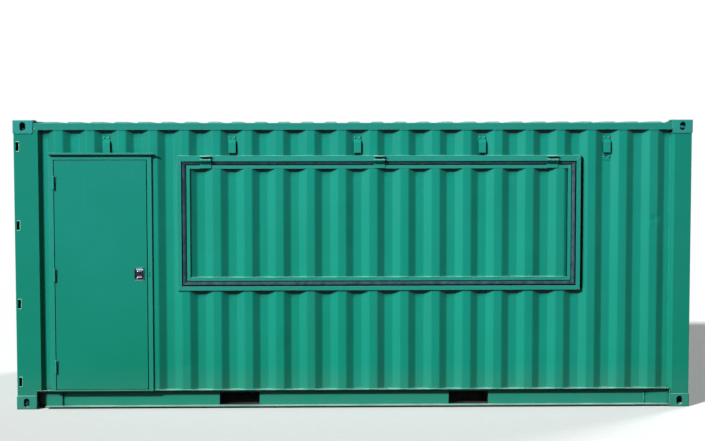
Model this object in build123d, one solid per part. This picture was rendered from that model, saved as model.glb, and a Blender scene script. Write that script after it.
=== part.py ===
from build123d import *
import os

# A 20 ft dry freight container made into a cabin: a flat steel door and a long top-hung
# serving hatch are cut into one side wall, and the cargo doors stay at one end.
# Millimetres, +Z up. X runs along the container from the cargo doors to the blind end.
# The side with the door and the hatch faces -Y. Everything is worked out about the middle
# of the container at ground level, and save() moves it so that the origin lies at the
# bottom centre of the whole box, with the hatch hinges included.

# Overall size
length = 6058.0
width = 2438.0
height = 2591.0

# Corner castings
casting_length = 178.0
casting_width = 162.0
casting_height = 118.0
casting_wall = 16.0
casting_inner_wall = 12.0
casting_plate = 28.0
casting_edge = 4.0
side_hole_width = 51.0
side_hole_height = 79.0
end_hole_width = 64.0
end_hole_height = 76.0
end_hole_radius = 24.0
lock_slot_length = 124.0
lock_slot_width = 63.5
lock_slot_from_end = 102.5
lock_slot_from_side = 89.5

# Side rails
rail_inset = 4.0
top_rail_size = 60.0
top_rail_wall = 3.0
top_rail_drop = 29.0
bottom_rail_bottom = 17.0
bottom_rail_top = 170.0
bottom_rail_flange = 66.0
bottom_rail_wall = 6.0
rail_recess_length = 74.0
rail_recess_depth = 40.0
rail_plate_door_end = 148.0
rail_plate_blind_end = 217.0
rail_plate_rise = 14.0

# Corner posts
end_inset = 7.0
post_wall = 6.0
door_post_width = 214.0
door_post_lip = 66.0
door_post_web_start = 100.0
door_post_web_end = 158.0
door_post_web_depth = 150.0
blind_post_width = 152.0
blind_post_end_width = 146.0
blind_post_web = 68.0
notch_width = 27.0
notch_height = 80.0
notch_inset = 18.0
cargo_hinge_count = 4
cargo_hinge_from_bottom = 249.0
cargo_hinge_from_top = 236.0

# Corrugated walls
sheet = 2.0
wall_inset = 8.0
wave_depth = 36.0
wave_outer_flat = 73.4
wave_inner_flat = 74.0
wave_slope = 66.0
wave_start = 441.0
wave_margin = 1.0
end_wall_inset = 14.0
end_wave_depth = 45.6
end_wave_outer_flat = 110.0
end_wave_inner_flat = 104.0
end_wave_slope = 18.0

# Roof
roof_sheet_thickness = 2.0
roof_edge = 12.0
roof_rib_height = 12.0
roof_rib_pitch = 209.0
roof_rib_base = 118.0
roof_rib_taper = 45.0
roof_rib_margin = 70.0
corner_plate_length = 62.0
corner_plate_thickness = 3.0
corner_plate_toe = 1.0
corner_plate_width = 12.0
corner_plate_set_back = 56.0

# Base and floor
floor_thickness = 28.0
cross_member_flange = 45.0
cross_member_wall = 4.0
cross_member_spacing = 285.0
fork_pocket_width = 360.0
fork_pocket_spacing = 2072.0
fork_pocket_wall = 4.5
fork_strap_width = 200.0
sill_depth = 120.0
header_depth = 100.0
header_top_drop = 8.0
end_rail_depth = 60.0
beam_wall = 5.0

# Personnel door
door_offset = 315.0
door_opening_width = 831.0
door_frame_below_rail = 218.0
door_frame_face = 40.0
door_head_face = 46.0
frame_depth = 70.0
frame_proud = 13.0
frame_wall = 3.0
door_gap = 6.0
door_latch_gap = 8.0
door_bottom_gap = 8.0
door_set_back = 2.0
leaf_thickness = 44.0
leaf_skin = 2.0
stop_width = 22.0
stop_thickness = 6.0
stop_gap = 7.0
weld_gap = 0.5
threshold_thickness = 6.0
threshold_lip = 4.0
threshold_overhang = 10.0
stiffener_width = 70.0
stiffener_depth = 32.0
stiffener_above_latch = 118.0
drip_rail_overrun = 26.0
drip_rail_reach = 28.0
drip_rail_height = 17.0
drip_rail_wall = 3.0

# Door hinges, three weld-on hinges with a fixed lower knuckle and pin
door_hinge_height = 112.0
door_hinge_radius = 8.0
door_hinge_end_distance = 143.0
door_hinge_count = 3
door_hinge_plate = 4.0
door_hinge_plate_width = 20.0
door_pin_radius = 5.0
door_pin_play = 0.3

# Recessed latch
latch_width = 88.0
latch_height = 118.0
latch_radius = 12.0
latch_flange = 2.0
latch_rim = 9.0
latch_dish_depth = 18.0
latch_dish_taper = 20.0
latch_wall = 1.5
latch_play = 1.0
latch_edge_distance = 68.0
latch_centre_height = 1035.0
paddle_width = 52.0
paddle_height = 56.0
paddle_thickness = 5.0
strike_width = 14.0
strike_height = 40.0
strike_thickness = 3.0

# Serving hatch
hatch_from_blind_end = 1002.0
hatch_from_door_frame = 225.0
hatch_frame_bottom = 1067.0
hatch_frame_below_rail = 230.0
hatch_frame_face = 38.0
hatch_head_face = 50.0
hatch_gap = 6.0
hatch_bottom_gap = 8.0
hatch_seal_side = 40.0
hatch_seal_top = 30.0
hatch_leaf_face = 30.0
hatch_leaf_depth = 50.0
hatch_leaf_set_back = 11.0
hatch_leaf_wall = 3.0
hatch_seal_set_back = 11.0
hatch_seal_thickness = 23.0
hatch_stop_width = 25.0
hatch_stop_thickness = 5.0
hatch_stop_gap = 10.0

# Hatch hinges
hatch_hinge_width = 100.0
hatch_hinge_end_distance = 255.0
hatch_hinge_radius = 12.0
hatch_hinge_reach = 20.0
hatch_hinge_above_opening = 9.0
hatch_hinge_plate = 5.0
hatch_knuckle = 38.0
hatch_knuckle_gap = 1.0
hatch_pin_radius = 6.0
hatch_pin_play = 0.3
hatch_hinge_cap_reach = 26.0
hatch_hinge_cap_drop = 4.0
hatch_neck_clearance = 5.0

# Wall vents
vent_width = 65.0
vent_top_drop = 52.0
vent_height = 220.0
vent_tab_top = 39.0
vent_hood_height = 114.0
vent_tab_thickness = 3.0
vent_hood_depth = 22.0
vent_first = 1
vent_last_margin = 3
vent_count = 5

# Cargo doors
cargo_set_back = 39.0
cargo_gap = 8.0
cargo_leaf_thickness = 50.0
cargo_stile = 60.0
cargo_rail = 110.0
cargo_panel_depth = 36.0
cargo_panel_outer = 95.0
cargo_panel_inner = 72.0
cargo_panel_slope = 68.0
cargo_seal_width = 10.0
cargo_seal_thickness = 26.0
cargo_leaf_wall = 4.0
bar_radius = 17.0
bar_stand_off = 3.0
bar_outer_distance = 250.0
bar_inner_distance = 130.0
cam_width = 46.0
cam_height = 60.0
cam_thickness = 18.0
bracket_height = 60.0
bracket_wall = 3.0
bracket_foot = 26.0
bracket_play = 0.3
keeper_height = 46.0
keeper_thickness = 10.0
keeper_play = 1.0
handle_length = 420.0
handle_height = 30.0
handle_thickness = 12.0
handle_level = 1120.0
handle_level_gap = 90.0
cargo_hinge_height = 70.0
cargo_hinge_blade = 10.0
cargo_hinge_pin_radius = 9.0
cargo_hinge_lug = 8.0

# Places worked out from the sizes above
door_end = -length / 2
blind_end = length / 2
front = -width / 2
casting_top_z = height - casting_height
top_rail_top = height - top_rail_drop
top_rail_bottom = top_rail_top - top_rail_size
wave_pitch = wave_outer_flat + wave_inner_flat + 2 * wave_slope
wall_plane = front + wall_inset
inner_flat_plane = wall_plane + wave_depth
wall_start = door_end + end_inset + door_post_width + wave_depth
wall_finish = blind_end - end_inset - blind_post_width - wave_depth
floor_top = bottom_rail_top
floor_bottom = floor_top - floor_thickness
web_outer = front + rail_inset + bottom_rail_flange - bottom_rail_wall
web_inner = web_outer + bottom_rail_wall

frame_face_y = wall_plane - frame_proud
frame_back_y = frame_face_y + frame_depth
frame_left = door_end + door_offset
opening_left = frame_left + door_frame_face
opening_right = opening_left + door_opening_width
frame_right = opening_right + door_frame_face
threshold_top = bottom_rail_top + threshold_thickness
frame_top = top_rail_bottom - door_frame_below_rail
opening_top = frame_top - door_head_face
leaf_left = opening_left + door_gap
leaf_right = opening_right - door_latch_gap
leaf_bottom = threshold_top + door_bottom_gap
leaf_top = opening_top - door_gap
leaf_face_y = frame_face_y + door_set_back
leaf_back_y = leaf_face_y + leaf_thickness
door_axis_x = opening_left + door_gap / 2
door_axis_y = frame_face_y - door_hinge_radius

hatch_right = blind_end - hatch_from_blind_end
hatch_left = frame_right + hatch_from_door_frame
hatch_frame_top = top_rail_bottom - hatch_frame_below_rail
hatch_in_left = hatch_left + hatch_frame_face
hatch_in_right = hatch_right - hatch_frame_face
hatch_in_bottom = hatch_frame_bottom + hatch_frame_face
hatch_in_top = hatch_frame_top - hatch_head_face
seal_left = hatch_in_left + hatch_gap
seal_right = hatch_in_right - hatch_gap
seal_bottom = hatch_in_bottom + hatch_bottom_gap
seal_top = hatch_in_top - hatch_gap
flap_left = seal_left + hatch_seal_side
flap_right = seal_right - hatch_seal_side
flap_bottom = seal_bottom + hatch_seal_side
flap_top = seal_top - hatch_seal_top
flap_face_y = frame_face_y + hatch_leaf_set_back
flap_back_y = flap_face_y + hatch_leaf_depth
seal_face_y = frame_face_y + hatch_seal_set_back
seal_back_y = seal_face_y + hatch_seal_thickness
hatch_axis_y = frame_face_y - hatch_hinge_reach
hatch_axis_z = hatch_in_top + hatch_hinge_above_opening
hatch_middle = (hatch_left + hatch_right) / 2
hatch_hinge_spread = (hatch_right - hatch_left) / 2 - hatch_hinge_end_distance
hatch_hinge_places = [hatch_middle + side * hatch_hinge_spread for side in (-1, 0, 1)]

front_reach = front - (hatch_axis_y - hatch_hinge_radius)
origin_shift = front_reach / 2


def block(x, y, z):
    """A box between two places along each axis."""
    middle = [(pair[0] + pair[1]) / 2 for pair in (x, y, z)]
    return Pos(*middle) * Box(x[1] - x[0], y[1] - y[0], z[1] - z[0])


def grown(pair, amount):
    """A pair of places with both ends moved outwards, or inwards if amount is negative."""
    return (pair[0] - amount, pair[1] + amount)


def box_tube(x, y, z, wall, axis):
    """A rectangular hollow section that runs along one axis and is open at both ends."""
    inner = [grown(pair, -wall) for pair in (x, y, z)]
    along = "XYZ".index(axis)
    inner[along] = (x, y, z)[along]
    return block(x, y, z) - block(*inner)


def upright(points, bottom, top):
    """A plan outline raised from one level to another."""
    return Pos(0, 0, bottom) * extrude(make_face(Polyline(*points, close=True)), amount=top - bottom)


def along_x(points, start, end):
    """An outline in Y and Z carried along X."""
    face = make_face(Polyline(*points, close=True))
    return Pos(start, 0, 0) * extrude(Plane.YZ * face, amount=end - start)


def both_sides(shape):
    """A piece and its mirror image on the other long side."""
    return [shape, mirror(shape, about=Plane.XZ)]


def save(node, shapes):
    """Write one node, moved so that the origin is the bottom centre of the whole box."""
    solids = [solid for shape in shapes for solid in shape.solids()]
    moved = [Pos(0, origin_shift, 0) * solid for solid in solids]
    export_step(Compound(children=moved), f"parts/{node}.step")


def wave_points(start, end, origin, outer_flat, inner_flat, slope, depth):
    """Corners of a trapezoid wave from start to end: 0 on its outer flats, depth on the inner ones."""
    pitch = outer_flat + inner_flat + 2 * slope
    corners = [(0, 0), (slope, depth), (slope + inner_flat, depth), (2 * slope + inner_flat, 0), (pitch, 0)]

    def offset_at(place):
        along = (place - origin) % pitch
        for (x0, d0), (x1, d1) in zip(corners, corners[1:]):
            if along <= x1:
                return d0 + (d1 - d0) * (along - x0) / (x1 - x0)
        return 0.0

    first = int((start - origin) // pitch)
    last = int((end - origin) // pitch)
    places = [(origin + n * pitch + x, d) for n in range(first, last + 1) for x, d in corners[:4]]
    inside = [(x, d) for x, d in places if start + wave_margin < x < end - wave_margin]
    return [(start, offset_at(start))] + inside + [(end, offset_at(end))]


def sheet_outline(points, thickness):
    """A closed strip of sheet metal whose outer side follows the points."""
    return points + [(x, d + thickness) for x, d in reversed(points)]


def side_wall(start, end, bottom, top):
    """A stretch of the corrugated front wall between two places along the container."""
    origin = door_end + wave_start
    wave = wave_points(start, end, origin, wave_outer_flat, wave_inner_flat, wave_slope, wave_depth)
    outline = [(x, wall_plane + d) for x, d in sheet_outline(wave, sheet)]
    return upright(outline, bottom, top)


def corner_casting():
    """A hollow casting with its outer bottom corner at the origin, running to +X, +Y and +Z."""
    body = block((0, casting_length), (0, casting_width), (0, casting_height))
    outer_edges = [body.edges().sort_by(Axis.Y)[:4].sort_by(Axis.Z)[0]]
    outer_edges += [body.edges().filter_by(Axis.Z).sort_by(lambda e: e.center().X + e.center().Y)[0]]
    outer_edges += [body.edges().filter_by(Axis.Y).sort_by(lambda e: e.center().X + e.center().Z)[0]]
    body = chamfer(outer_edges, casting_edge)
    cavity = block(
        (casting_wall, casting_length - casting_inner_wall),
        (casting_wall, casting_width - casting_inner_wall),
        (casting_plate, casting_height - casting_inner_wall),
    )
    side_place = Plane.XZ * Pos(casting_length / 2, casting_height / 2)
    side_shape = SlotOverall(side_hole_height, side_hole_width, rotation=90)
    side_hole = extrude(side_place * side_shape, amount=-casting_wall)
    end_place = Plane.YZ * Pos(casting_width / 2, casting_height / 2)
    end_shape = RectangleRounded(end_hole_width, end_hole_height, end_hole_radius)
    end_hole = extrude(end_place * end_shape, amount=casting_wall)
    lock_place = Pos(lock_slot_from_end, lock_slot_from_side)
    lock_slot = extrude(lock_place * SlotOverall(lock_slot_length, lock_slot_width), amount=casting_plate)
    return body - cavity - side_hole - end_hole - lock_slot


def corner_castings():
    """The eight castings, the first one mirrored to every corner."""
    first = Pos(door_end, front, 0) * corner_casting()
    end_pair = [first, mirror(first, about=Plane.YZ)]
    low = [piece for one in end_pair for piece in both_sides(one)]
    middle = Plane.XY.offset(height / 2)
    return low + [mirror(piece, about=middle) for piece in low]


def folded_post(points):
    """A post of folded plate from an outline given as distances in from the end and the side."""
    outline = make_face(Polyline(*points, close=True))
    inner = offset(outline, amount=-post_wall, kind=Kind.INTERSECTION)
    rise = top_rail_bottom - casting_height
    post = Pos(0, 0, casting_height) * (extrude(outline, amount=rise) - extrude(inner, amount=rise))
    far = width
    over_casting = block((0, casting_length), (0, casting_width), (casting_top_z, height))
    beside = block((casting_length, far), (0, far), (0, bottom_rail_top))
    behind = block((0, far), (casting_width, far), (0, bottom_rail_top))
    return post - over_casting - beside - behind


def door_end_posts():
    """The posts that carry the cargo doors, with a notch for each hinge in the outer corner."""
    side_end = end_inset + door_post_width
    slope_end = wall_inset + wave_depth
    back = slope_end + wave_depth
    points = [
        (end_inset, rail_inset),
        (side_end, rail_inset),
        (side_end + wave_depth, slope_end),
        (side_end + wave_depth, back),
        (end_inset + door_post_web_end, back),
        (end_inset + door_post_web_end, door_post_web_depth),
        (end_inset + door_post_web_start, door_post_web_depth),
        (end_inset + door_post_web_start, rail_inset + door_post_lip),
        (end_inset, rail_inset + door_post_lip),
    ]
    post = folded_post(points)
    lip = (rail_inset, rail_inset + door_post_lip)
    for level in cargo_hinge_levels():
        slot_z = (level - notch_height / 2, level + notch_height / 2)
        slot_x = (end_inset + notch_inset, end_inset + notch_inset + notch_width)
        post -= block(slot_x, lip, slot_z)
        lug_x = (end_inset + post_wall, slot_x[1])
        for bottom in (slot_z[0] - cargo_hinge_lug, slot_z[1]):
            post += block(lug_x, grown(lip, -post_wall), (bottom, bottom + cargo_hinge_lug))
    return both_sides(Pos(door_end, front, 0) * post)


def blind_end_posts():
    """The posts at the blind end, folded to meet the side wall and the end wall."""
    side_end = end_inset + blind_post_width
    slope_end = wall_inset + wave_depth
    end_plane = end_wall_inset + end_wave_depth
    end_side = end_inset + blind_post_end_width
    back = slope_end + 2 * post_wall
    points = [
        (end_inset, rail_inset),
        (side_end, rail_inset),
        (side_end + wave_depth, slope_end),
        (side_end + wave_depth, back),
        (end_inset + blind_post_web, back),
        (end_inset + blind_post_web, end_side + wave_depth),
        (end_plane, end_side + wave_depth),
        (end_inset, end_side),
    ]
    post = Pos(door_end, front, 0) * folded_post(points)
    return both_sides(mirror(post, about=Plane.YZ))


def top_side_rails():
    """Square tubes between the top castings."""
    rail = box_tube(
        (door_end + casting_length, blind_end - casting_length),
        (front + rail_inset, front + rail_inset + top_rail_size),
        (top_rail_bottom, top_rail_top),
        top_rail_wall,
        "X",
    )
    return both_sides(rail)


def fork_pocket_centres():
    """The middles of the two fork pockets along the container."""
    return [side * fork_pocket_spacing / 2 for side in (-1, 1)]


def fork_pocket_top():
    """The underside of the plate over the fork pockets."""
    return floor_bottom - cross_member_wall


def rail_recess(start):
    """Beside the cargo-end casting the rail steps inwards: what is cut away, and the plates behind it."""
    outer = front + rail_inset
    low = bottom_rail_bottom
    wall = bottom_rail_wall
    end = start + rail_recess_length
    deep = web_inner + rail_recess_depth
    high = floor_bottom - weld_gap
    cut = block((start, end), (outer, web_inner), (low, bottom_rail_top - wall))
    back = block((start, end + wall), (deep, deep + wall), (low, high))
    step = block((end, end + wall), (web_outer, deep + wall), (low, high))
    return cut, back + step


def bottom_side_rails():
    """Outward-facing channels, open at the fork pockets, with a plate in front of the web at each end."""
    start = door_end + casting_length
    end = blind_end - casting_length
    outer = front + rail_inset
    low = bottom_rail_bottom
    high = bottom_rail_top
    wall = bottom_rail_wall
    channel = block((start, end), (outer, web_inner), (low, high))
    channel -= block((start, end), (outer, web_outer), (low + wall, high - wall))
    recess, stub = rail_recess(start)
    channel -= recess
    channel += stub
    for centre in fork_pocket_centres():
        channel -= block(
            (centre - fork_pocket_width / 2, centre + fork_pocket_width / 2),
            (outer, web_inner),
            (low + wall, fork_pocket_top()),
        )
    plate_y = web_outer - rail_plate_rise
    near = start + rail_recess_length
    channel += block((near, near + rail_plate_door_end), (plate_y, plate_y + wall), (low + wall, high - wall))
    slope = [(end - rail_plate_blind_end, web_outer), (end, plate_y), (end, plate_y + wall)]
    slope.append((end - rail_plate_blind_end + 2 * wall, web_outer))
    channel += upright(slope, low + wall, high - wall)
    return both_sides(channel)


def beam_face_x():
    """The header and the sill stand back far enough for the locking gear in front of them."""
    return door_end + end_inset + cargo_set_back


def cargo_beams():
    """The header over the cargo doors and the sill under them."""
    y = (front + casting_width, -front - casting_width)
    sill_x = (beam_face_x(), beam_face_x() + sill_depth)
    header_x = (beam_face_x(), beam_face_x() + header_depth)
    sill = box_tube(sill_x, y, (bottom_rail_bottom, bottom_rail_top), beam_wall, "Y")
    header = box_tube(header_x, y, (casting_top_z, height - header_top_drop), beam_wall, "Y")
    return [sill, header]


def end_rails():
    """The beams above and below the blind end wall."""
    y = (front + casting_width, -front - casting_width)
    x = (blind_end - end_inset - end_rail_depth, blind_end - end_inset)
    low = box_tube(x, y, (bottom_rail_bottom, bottom_rail_top), beam_wall, "Y")
    high = box_tube(x, y, (top_rail_bottom, top_rail_top), top_rail_wall, "Y")
    return [low, high]


def fork_tunnels():
    """Under the floor behind each pair of fork pocket openings: two sides, a top and two straps below."""
    plates = []
    y = (web_inner, -web_inner)
    low = (bottom_rail_bottom, bottom_rail_bottom + bottom_rail_wall)
    for centre in fork_pocket_centres():
        inner = (centre - fork_pocket_width / 2, centre + fork_pocket_width / 2)
        outer = grown(inner, fork_pocket_wall)
        plates.append(block((outer[0], inner[0]), y, (bottom_rail_bottom, floor_bottom)))
        plates.append(block((inner[1], outer[1]), y, (bottom_rail_bottom, floor_bottom)))
        plates.append(block(grown(inner, -weld_gap), y, (fork_pocket_top(), floor_bottom)))
        strap = block(grown(inner, -weld_gap), (web_inner, web_inner + fork_strap_width), low)
        plates += both_sides(strap)
    return plates


def cross_members():
    """Channels under the floor, in three bays divided by the fork tunnels."""
    half = fork_pocket_width / 2 + fork_pocket_wall
    left, right = fork_pocket_centres()
    bays = [
        (beam_face_x() + sill_depth, left - half),
        (left + half, right - half),
        (right + half, blind_end - end_inset - end_rail_depth),
    ]
    members = []
    for start, end in bays:
        spaces = max(2, round((end - start) / cross_member_spacing))
        for n in range(1, spaces):
            x = start + (end - start) * n / spaces
            outer = (x - cross_member_flange / 2, x + cross_member_flange / 2)
            z = (bottom_rail_bottom, floor_bottom)
            channel = block(outer, (web_inner, -web_inner), z)
            hollow = (outer[0] + cross_member_wall, outer[1])
            channel -= block(hollow, (web_inner, -web_inner), grown(z, -cross_member_wall))
            members.append(channel)
    return members


def floor():
    """The plywood floor between the bottom rails."""
    x = (beam_face_x() + sill_depth, blind_end - end_inset - end_rail_depth)
    board = block(x, (web_inner, -web_inner), (floor_bottom, floor_top))
    z = (floor_bottom, floor_top)
    for end in (door_end, blind_end - casting_length):
        for side in (front, -front - casting_width):
            board -= block((end, end + casting_length), (side, side + casting_width), z)
    return [board]


def roof():
    """One sheet over the side rails with pressed ribs across it that taper at their ends."""
    edge_y = front + rail_inset + roof_edge
    start = door_end + casting_length
    end = blind_end - casting_length
    panel = block((start, end), (edge_y, -edge_y), (top_rail_top, top_rail_top + roof_sheet_thickness))
    rib_length = -2 * (front + rail_inset + roof_rib_margin)
    count = int((end - start - roof_rib_base) // roof_rib_pitch) + 1
    first = (start + end) / 2 - (count - 1) * roof_rib_pitch / 2
    raised = extrude(Rectangle(roof_rib_base, rib_length), amount=roof_rib_height, taper=roof_rib_taper)
    top = top_rail_top + roof_sheet_thickness
    for n in range(count):
        place = Pos(first + n * roof_rib_pitch, 0, top)
        panel += place * raised
        panel -= place * Pos(0, 0, -roof_sheet_thickness) * raised
    return [panel]


def roof_end_plates():
    """Flat plates between the castings, from the beam at each end to the roof sheet."""
    y = (front + casting_width, -front - casting_width)
    z = (top_rail_top, top_rail_top + roof_sheet_thickness)
    cargo_end = block((beam_face_x() + header_depth, door_end + casting_length), y, z)
    blind_plate = block((blind_end - casting_length, blind_end - end_inset - roof_edge), y, z)
    return [cargo_end, blind_plate]


def roof_corner_plates():
    """Sloping plates from the top of each casting down to the side rail."""
    x0 = door_end + casting_length
    low = top_rail_top + roof_sheet_thickness
    high = height - corner_plate_thickness
    points = [
        (x0, low),
        (x0 + corner_plate_length, low),
        (x0 + corner_plate_length, low + corner_plate_toe),
        (x0 + corner_plate_thickness, high),
        (x0, high),
    ]
    y = front + rail_inset + corner_plate_set_back + corner_plate_width
    outline = Plane.XZ * make_face(Polyline(*points, close=True))
    plate = Pos(0, y, 0) * extrude(outline, amount=corner_plate_width)
    ends = [plate, mirror(plate, about=Plane.YZ)]
    return [piece for one in ends for piece in both_sides(one)]


def end_wall():
    """The corrugated blind end wall between its posts."""
    half = -front - end_inset - blind_post_end_width - wave_depth
    flats = (end_wave_outer_flat, end_wave_inner_flat)
    wave = wave_points(-half, half, -half - end_wave_slope, *flats, end_wave_slope, end_wave_depth)
    outline = [(blind_end - end_wall_inset - d, y) for y, d in sheet_outline(wave, sheet)]
    return [upright(outline, bottom_rail_top, top_rail_bottom)]


def door_jambs():
    """The two hollow uprights of the door frame, with a small strike plate on the latch side."""
    y = (frame_face_y, frame_back_y)
    z = (threshold_top, frame_top)
    hinge_jamb = box_tube((frame_left, opening_left), y, z, frame_wall, "Z")
    latch_jamb = box_tube((opening_right, frame_right), y, z, frame_wall, "Z")
    strike_level = leaf_bottom + latch_centre_height
    latch_jamb += block(
        (opening_right + frame_wall, opening_right + frame_wall + strike_width),
        (frame_face_y - strike_thickness, frame_face_y),
        (strike_level - strike_height / 2, strike_level + strike_height / 2),
    )
    return [hinge_jamb, latch_jamb]


def door_head():
    """The hollow head of the door frame between its uprights."""
    x = (opening_left, opening_right)
    return [box_tube(x, (frame_face_y, frame_back_y), (opening_top, frame_top), frame_wall, "X")]


def frame_stops(x, z, y, stop, with_foot):
    """Flat bars round the inside of a frame, with a small gap between them at the corners."""
    bars = [block((x[0], x[0] + stop), y, z), block((x[1] - stop, x[1]), y, z)]
    across = grown(x, -stop - weld_gap)
    bars.append(block(across, y, (z[1] - stop, z[1])))
    if with_foot:
        bars.append(block(across, y, (z[0], z[0] + stop)))
    return bars


def door_stops():
    """The flat bars that the door leaf closes against, on three sides."""
    y = (leaf_back_y + stop_gap, leaf_back_y + stop_gap + stop_thickness)
    x = (opening_left, opening_right)
    return frame_stops(x, (threshold_top, opening_top), y, stop_width, with_foot=False)


def threshold():
    """The door's threshold, a plate on the bottom rail with a lip turned down in front."""
    back = frame_back_y
    nose = frame_face_y - threshold_overhang
    top = threshold_top
    points = [
        (back, bottom_rail_top),
        (back, top),
        (nose, top),
        (nose, bottom_rail_top - threshold_lip),
        (nose + threshold_thickness, bottom_rail_top - threshold_lip),
        (nose + threshold_thickness, bottom_rail_top),
    ]
    return [along_x(points, frame_left, frame_right)]


def drip_rail():
    """A small gutter over the personnel door, standing on the head of its frame."""
    nose = frame_face_y - drip_rail_reach
    points = [
        (wall_plane, frame_top),
        (wall_plane, frame_top + drip_rail_wall),
        (nose + drip_rail_wall, frame_top + drip_rail_wall),
        (nose + drip_rail_wall, frame_top + drip_rail_height),
        (nose, frame_top + drip_rail_height),
        (nose, frame_top),
    ]
    return [along_x(points, frame_left, frame_right + drip_rail_overrun)]


def door_hinge_levels():
    """The bottom of each door hinge."""
    lowest = leaf_bottom + door_hinge_end_distance
    highest = leaf_top - door_hinge_end_distance - door_hinge_height
    pitch = (highest - lowest) / (door_hinge_count - 1)
    return [lowest + n * pitch for n in range(door_hinge_count)]


def knuckle(radius, height_, level):
    """A round hinge knuckle on the door's axis."""
    place = Pos(door_axis_x, door_axis_y, level)
    return place * Cylinder(radius, height_, align=(Align.CENTER, Align.CENTER, Align.MIN))


def door_hinge_frame_halves():
    """The fixed halves: a lower knuckle with its pin, and a plate welded to the jamb."""
    half = door_hinge_height / 2
    halves = []
    for level in door_hinge_levels():
        piece = knuckle(door_hinge_radius, half - door_pin_play, level)
        piece += block(
            (door_axis_x - door_hinge_plate_width, door_axis_x),
            (frame_face_y - door_hinge_plate, frame_face_y),
            (level, level + half - door_pin_play),
        )
        piece += knuckle(door_pin_radius, door_hinge_height, level)
        halves.append(piece)
    return halves


def door_hinge_leaf_halves():
    """The moving halves: an upper knuckle over the pin, and a plate welded to the leaf."""
    half = door_hinge_height / 2
    halves = []
    for level in door_hinge_levels():
        piece = knuckle(door_hinge_radius, half, level + half)
        piece += block(
            (door_axis_x, door_axis_x + door_hinge_plate_width),
            (leaf_face_y - door_hinge_plate, leaf_face_y),
            (level + half, level + door_hinge_height),
        )
        piece -= knuckle(door_pin_radius + door_pin_play, half, level + half)
        halves.append(piece)
    return halves


def latch_centre():
    """The middle of the latch on the leaf, along X and Z."""
    return (leaf_right - latch_edge_distance, leaf_bottom + latch_centre_height)


def latch_outline(width_, height_, radius, y):
    """A rounded rectangle centred on the latch, standing in the plane of the door."""
    x, z = latch_centre()
    plane = Plane(origin=(x, y, z), x_dir=(1, 0, 0), z_dir=(0, 1, 0))
    return plane * RectangleRounded(width_, height_, radius)


def latch_opening():
    """The size of the hole in the leaf that the dish sits in."""
    return (latch_width - 2 * latch_rim, latch_height - 2 * latch_rim, latch_radius)


def door_leaf():
    """A tray of sheet steel with its four edges folded back, and a hole for the latch."""
    x = (leaf_left, leaf_right)
    z = (leaf_bottom, leaf_top)
    leaf = block(x, (leaf_face_y, leaf_back_y), z)
    leaf -= block(grown(x, -leaf_skin), (leaf_face_y + leaf_skin, leaf_back_y), grown(z, -leaf_skin))
    hole = extrude(latch_outline(*latch_opening(), leaf_face_y), amount=leaf_skin)
    return [leaf - hole]


def stiffener_levels():
    """A quarter of the way up the leaf, just above the latch, and three quarters of the way up."""
    quarter = (leaf_top - leaf_bottom) / 4
    return [leaf_bottom + quarter, latch_centre()[1] + stiffener_above_latch, leaf_top - quarter]


def door_stiffeners():
    """Hat sections across the back of the door skin."""
    inner_x = grown((leaf_left, leaf_right), -leaf_skin)
    y = leaf_face_y + leaf_skin
    hats = []
    half = stiffener_width / 2
    for level in stiffener_levels():
        z = (level - half, level + half)
        hat = block(inner_x, (y, y + stiffener_depth), z)
        hat -= block(inner_x, (y, y + stiffener_depth - leaf_skin), grown(z, -leaf_skin))
        flange = stiffener_depth / 2
        hat += block(inner_x, (y, y + leaf_skin), (z[0] - flange, z[0] + leaf_skin))
        hat += block(inner_x, (y, y + leaf_skin), (z[1] - leaf_skin, z[1] + flange))
        hats.append(hat)
    return hats


def latch_dish():
    """A pressed dish with a flat rim, let into the face of the door."""
    rim = extrude(latch_outline(latch_width, latch_height, latch_radius, leaf_face_y), amount=-latch_flange)
    hole_width, hole_height, radius = latch_opening()
    outer_size = (hole_width - latch_play, hole_height - latch_play)
    outer = latch_outline(*outer_size, radius - latch_play / 2, leaf_face_y)
    bowl = extrude(outer, amount=latch_dish_depth, taper=latch_dish_taper)
    mouth = leaf_face_y - latch_flange
    inner_size = [size - 2 * latch_wall for size in outer_size]
    inner = latch_outline(*inner_size, radius - latch_wall, mouth)
    hollow = extrude(inner, amount=latch_dish_depth + latch_flange - latch_wall, taper=latch_dish_taper)
    return [rim + bowl - hollow]


def latch_paddle():
    """The paddle that is pulled to open the door, standing on the floor of the dish."""
    x, z = latch_centre()
    floor_y = leaf_face_y + latch_dish_depth - latch_wall
    face_y = floor_y - latch_dish_depth / 2
    plate = latch_outline(paddle_width, paddle_height, latch_radius / 2, face_y)
    paddle = extrude(plate, amount=paddle_thickness)
    post = paddle_thickness * 2
    paddle += block(
        (x - post, x + post),
        (face_y + paddle_thickness, floor_y),
        (z - post / 2, z + post / 2),
    )
    return [paddle]


def hatch_frame_rails():
    """The head and the foot of the fixed hatch frame."""
    y = (frame_face_y, frame_back_y)
    x = (hatch_left, hatch_right)
    head = box_tube(x, y, (hatch_in_top, hatch_frame_top), frame_wall, "X")
    foot = box_tube(x, y, (hatch_frame_bottom, hatch_in_bottom), frame_wall, "X")
    return [head, foot]


def hatch_frame_stiles():
    """The two sides of the fixed hatch frame."""
    y = (frame_face_y, frame_back_y)
    z = (hatch_in_bottom, hatch_in_top)
    left = box_tube((hatch_left, hatch_in_left), y, z, frame_wall, "Z")
    right = box_tube((hatch_in_right, hatch_right), y, z, frame_wall, "Z")
    return [left, right]


def hatch_stops():
    """The flat bars behind the seal, on all four sides of the hatch opening."""
    y = (seal_back_y + hatch_stop_gap, seal_back_y + hatch_stop_gap + hatch_stop_thickness)
    x = (hatch_in_left, hatch_in_right)
    return frame_stops(x, (hatch_in_bottom, hatch_in_top), y, hatch_stop_width, with_foot=True)


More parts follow.
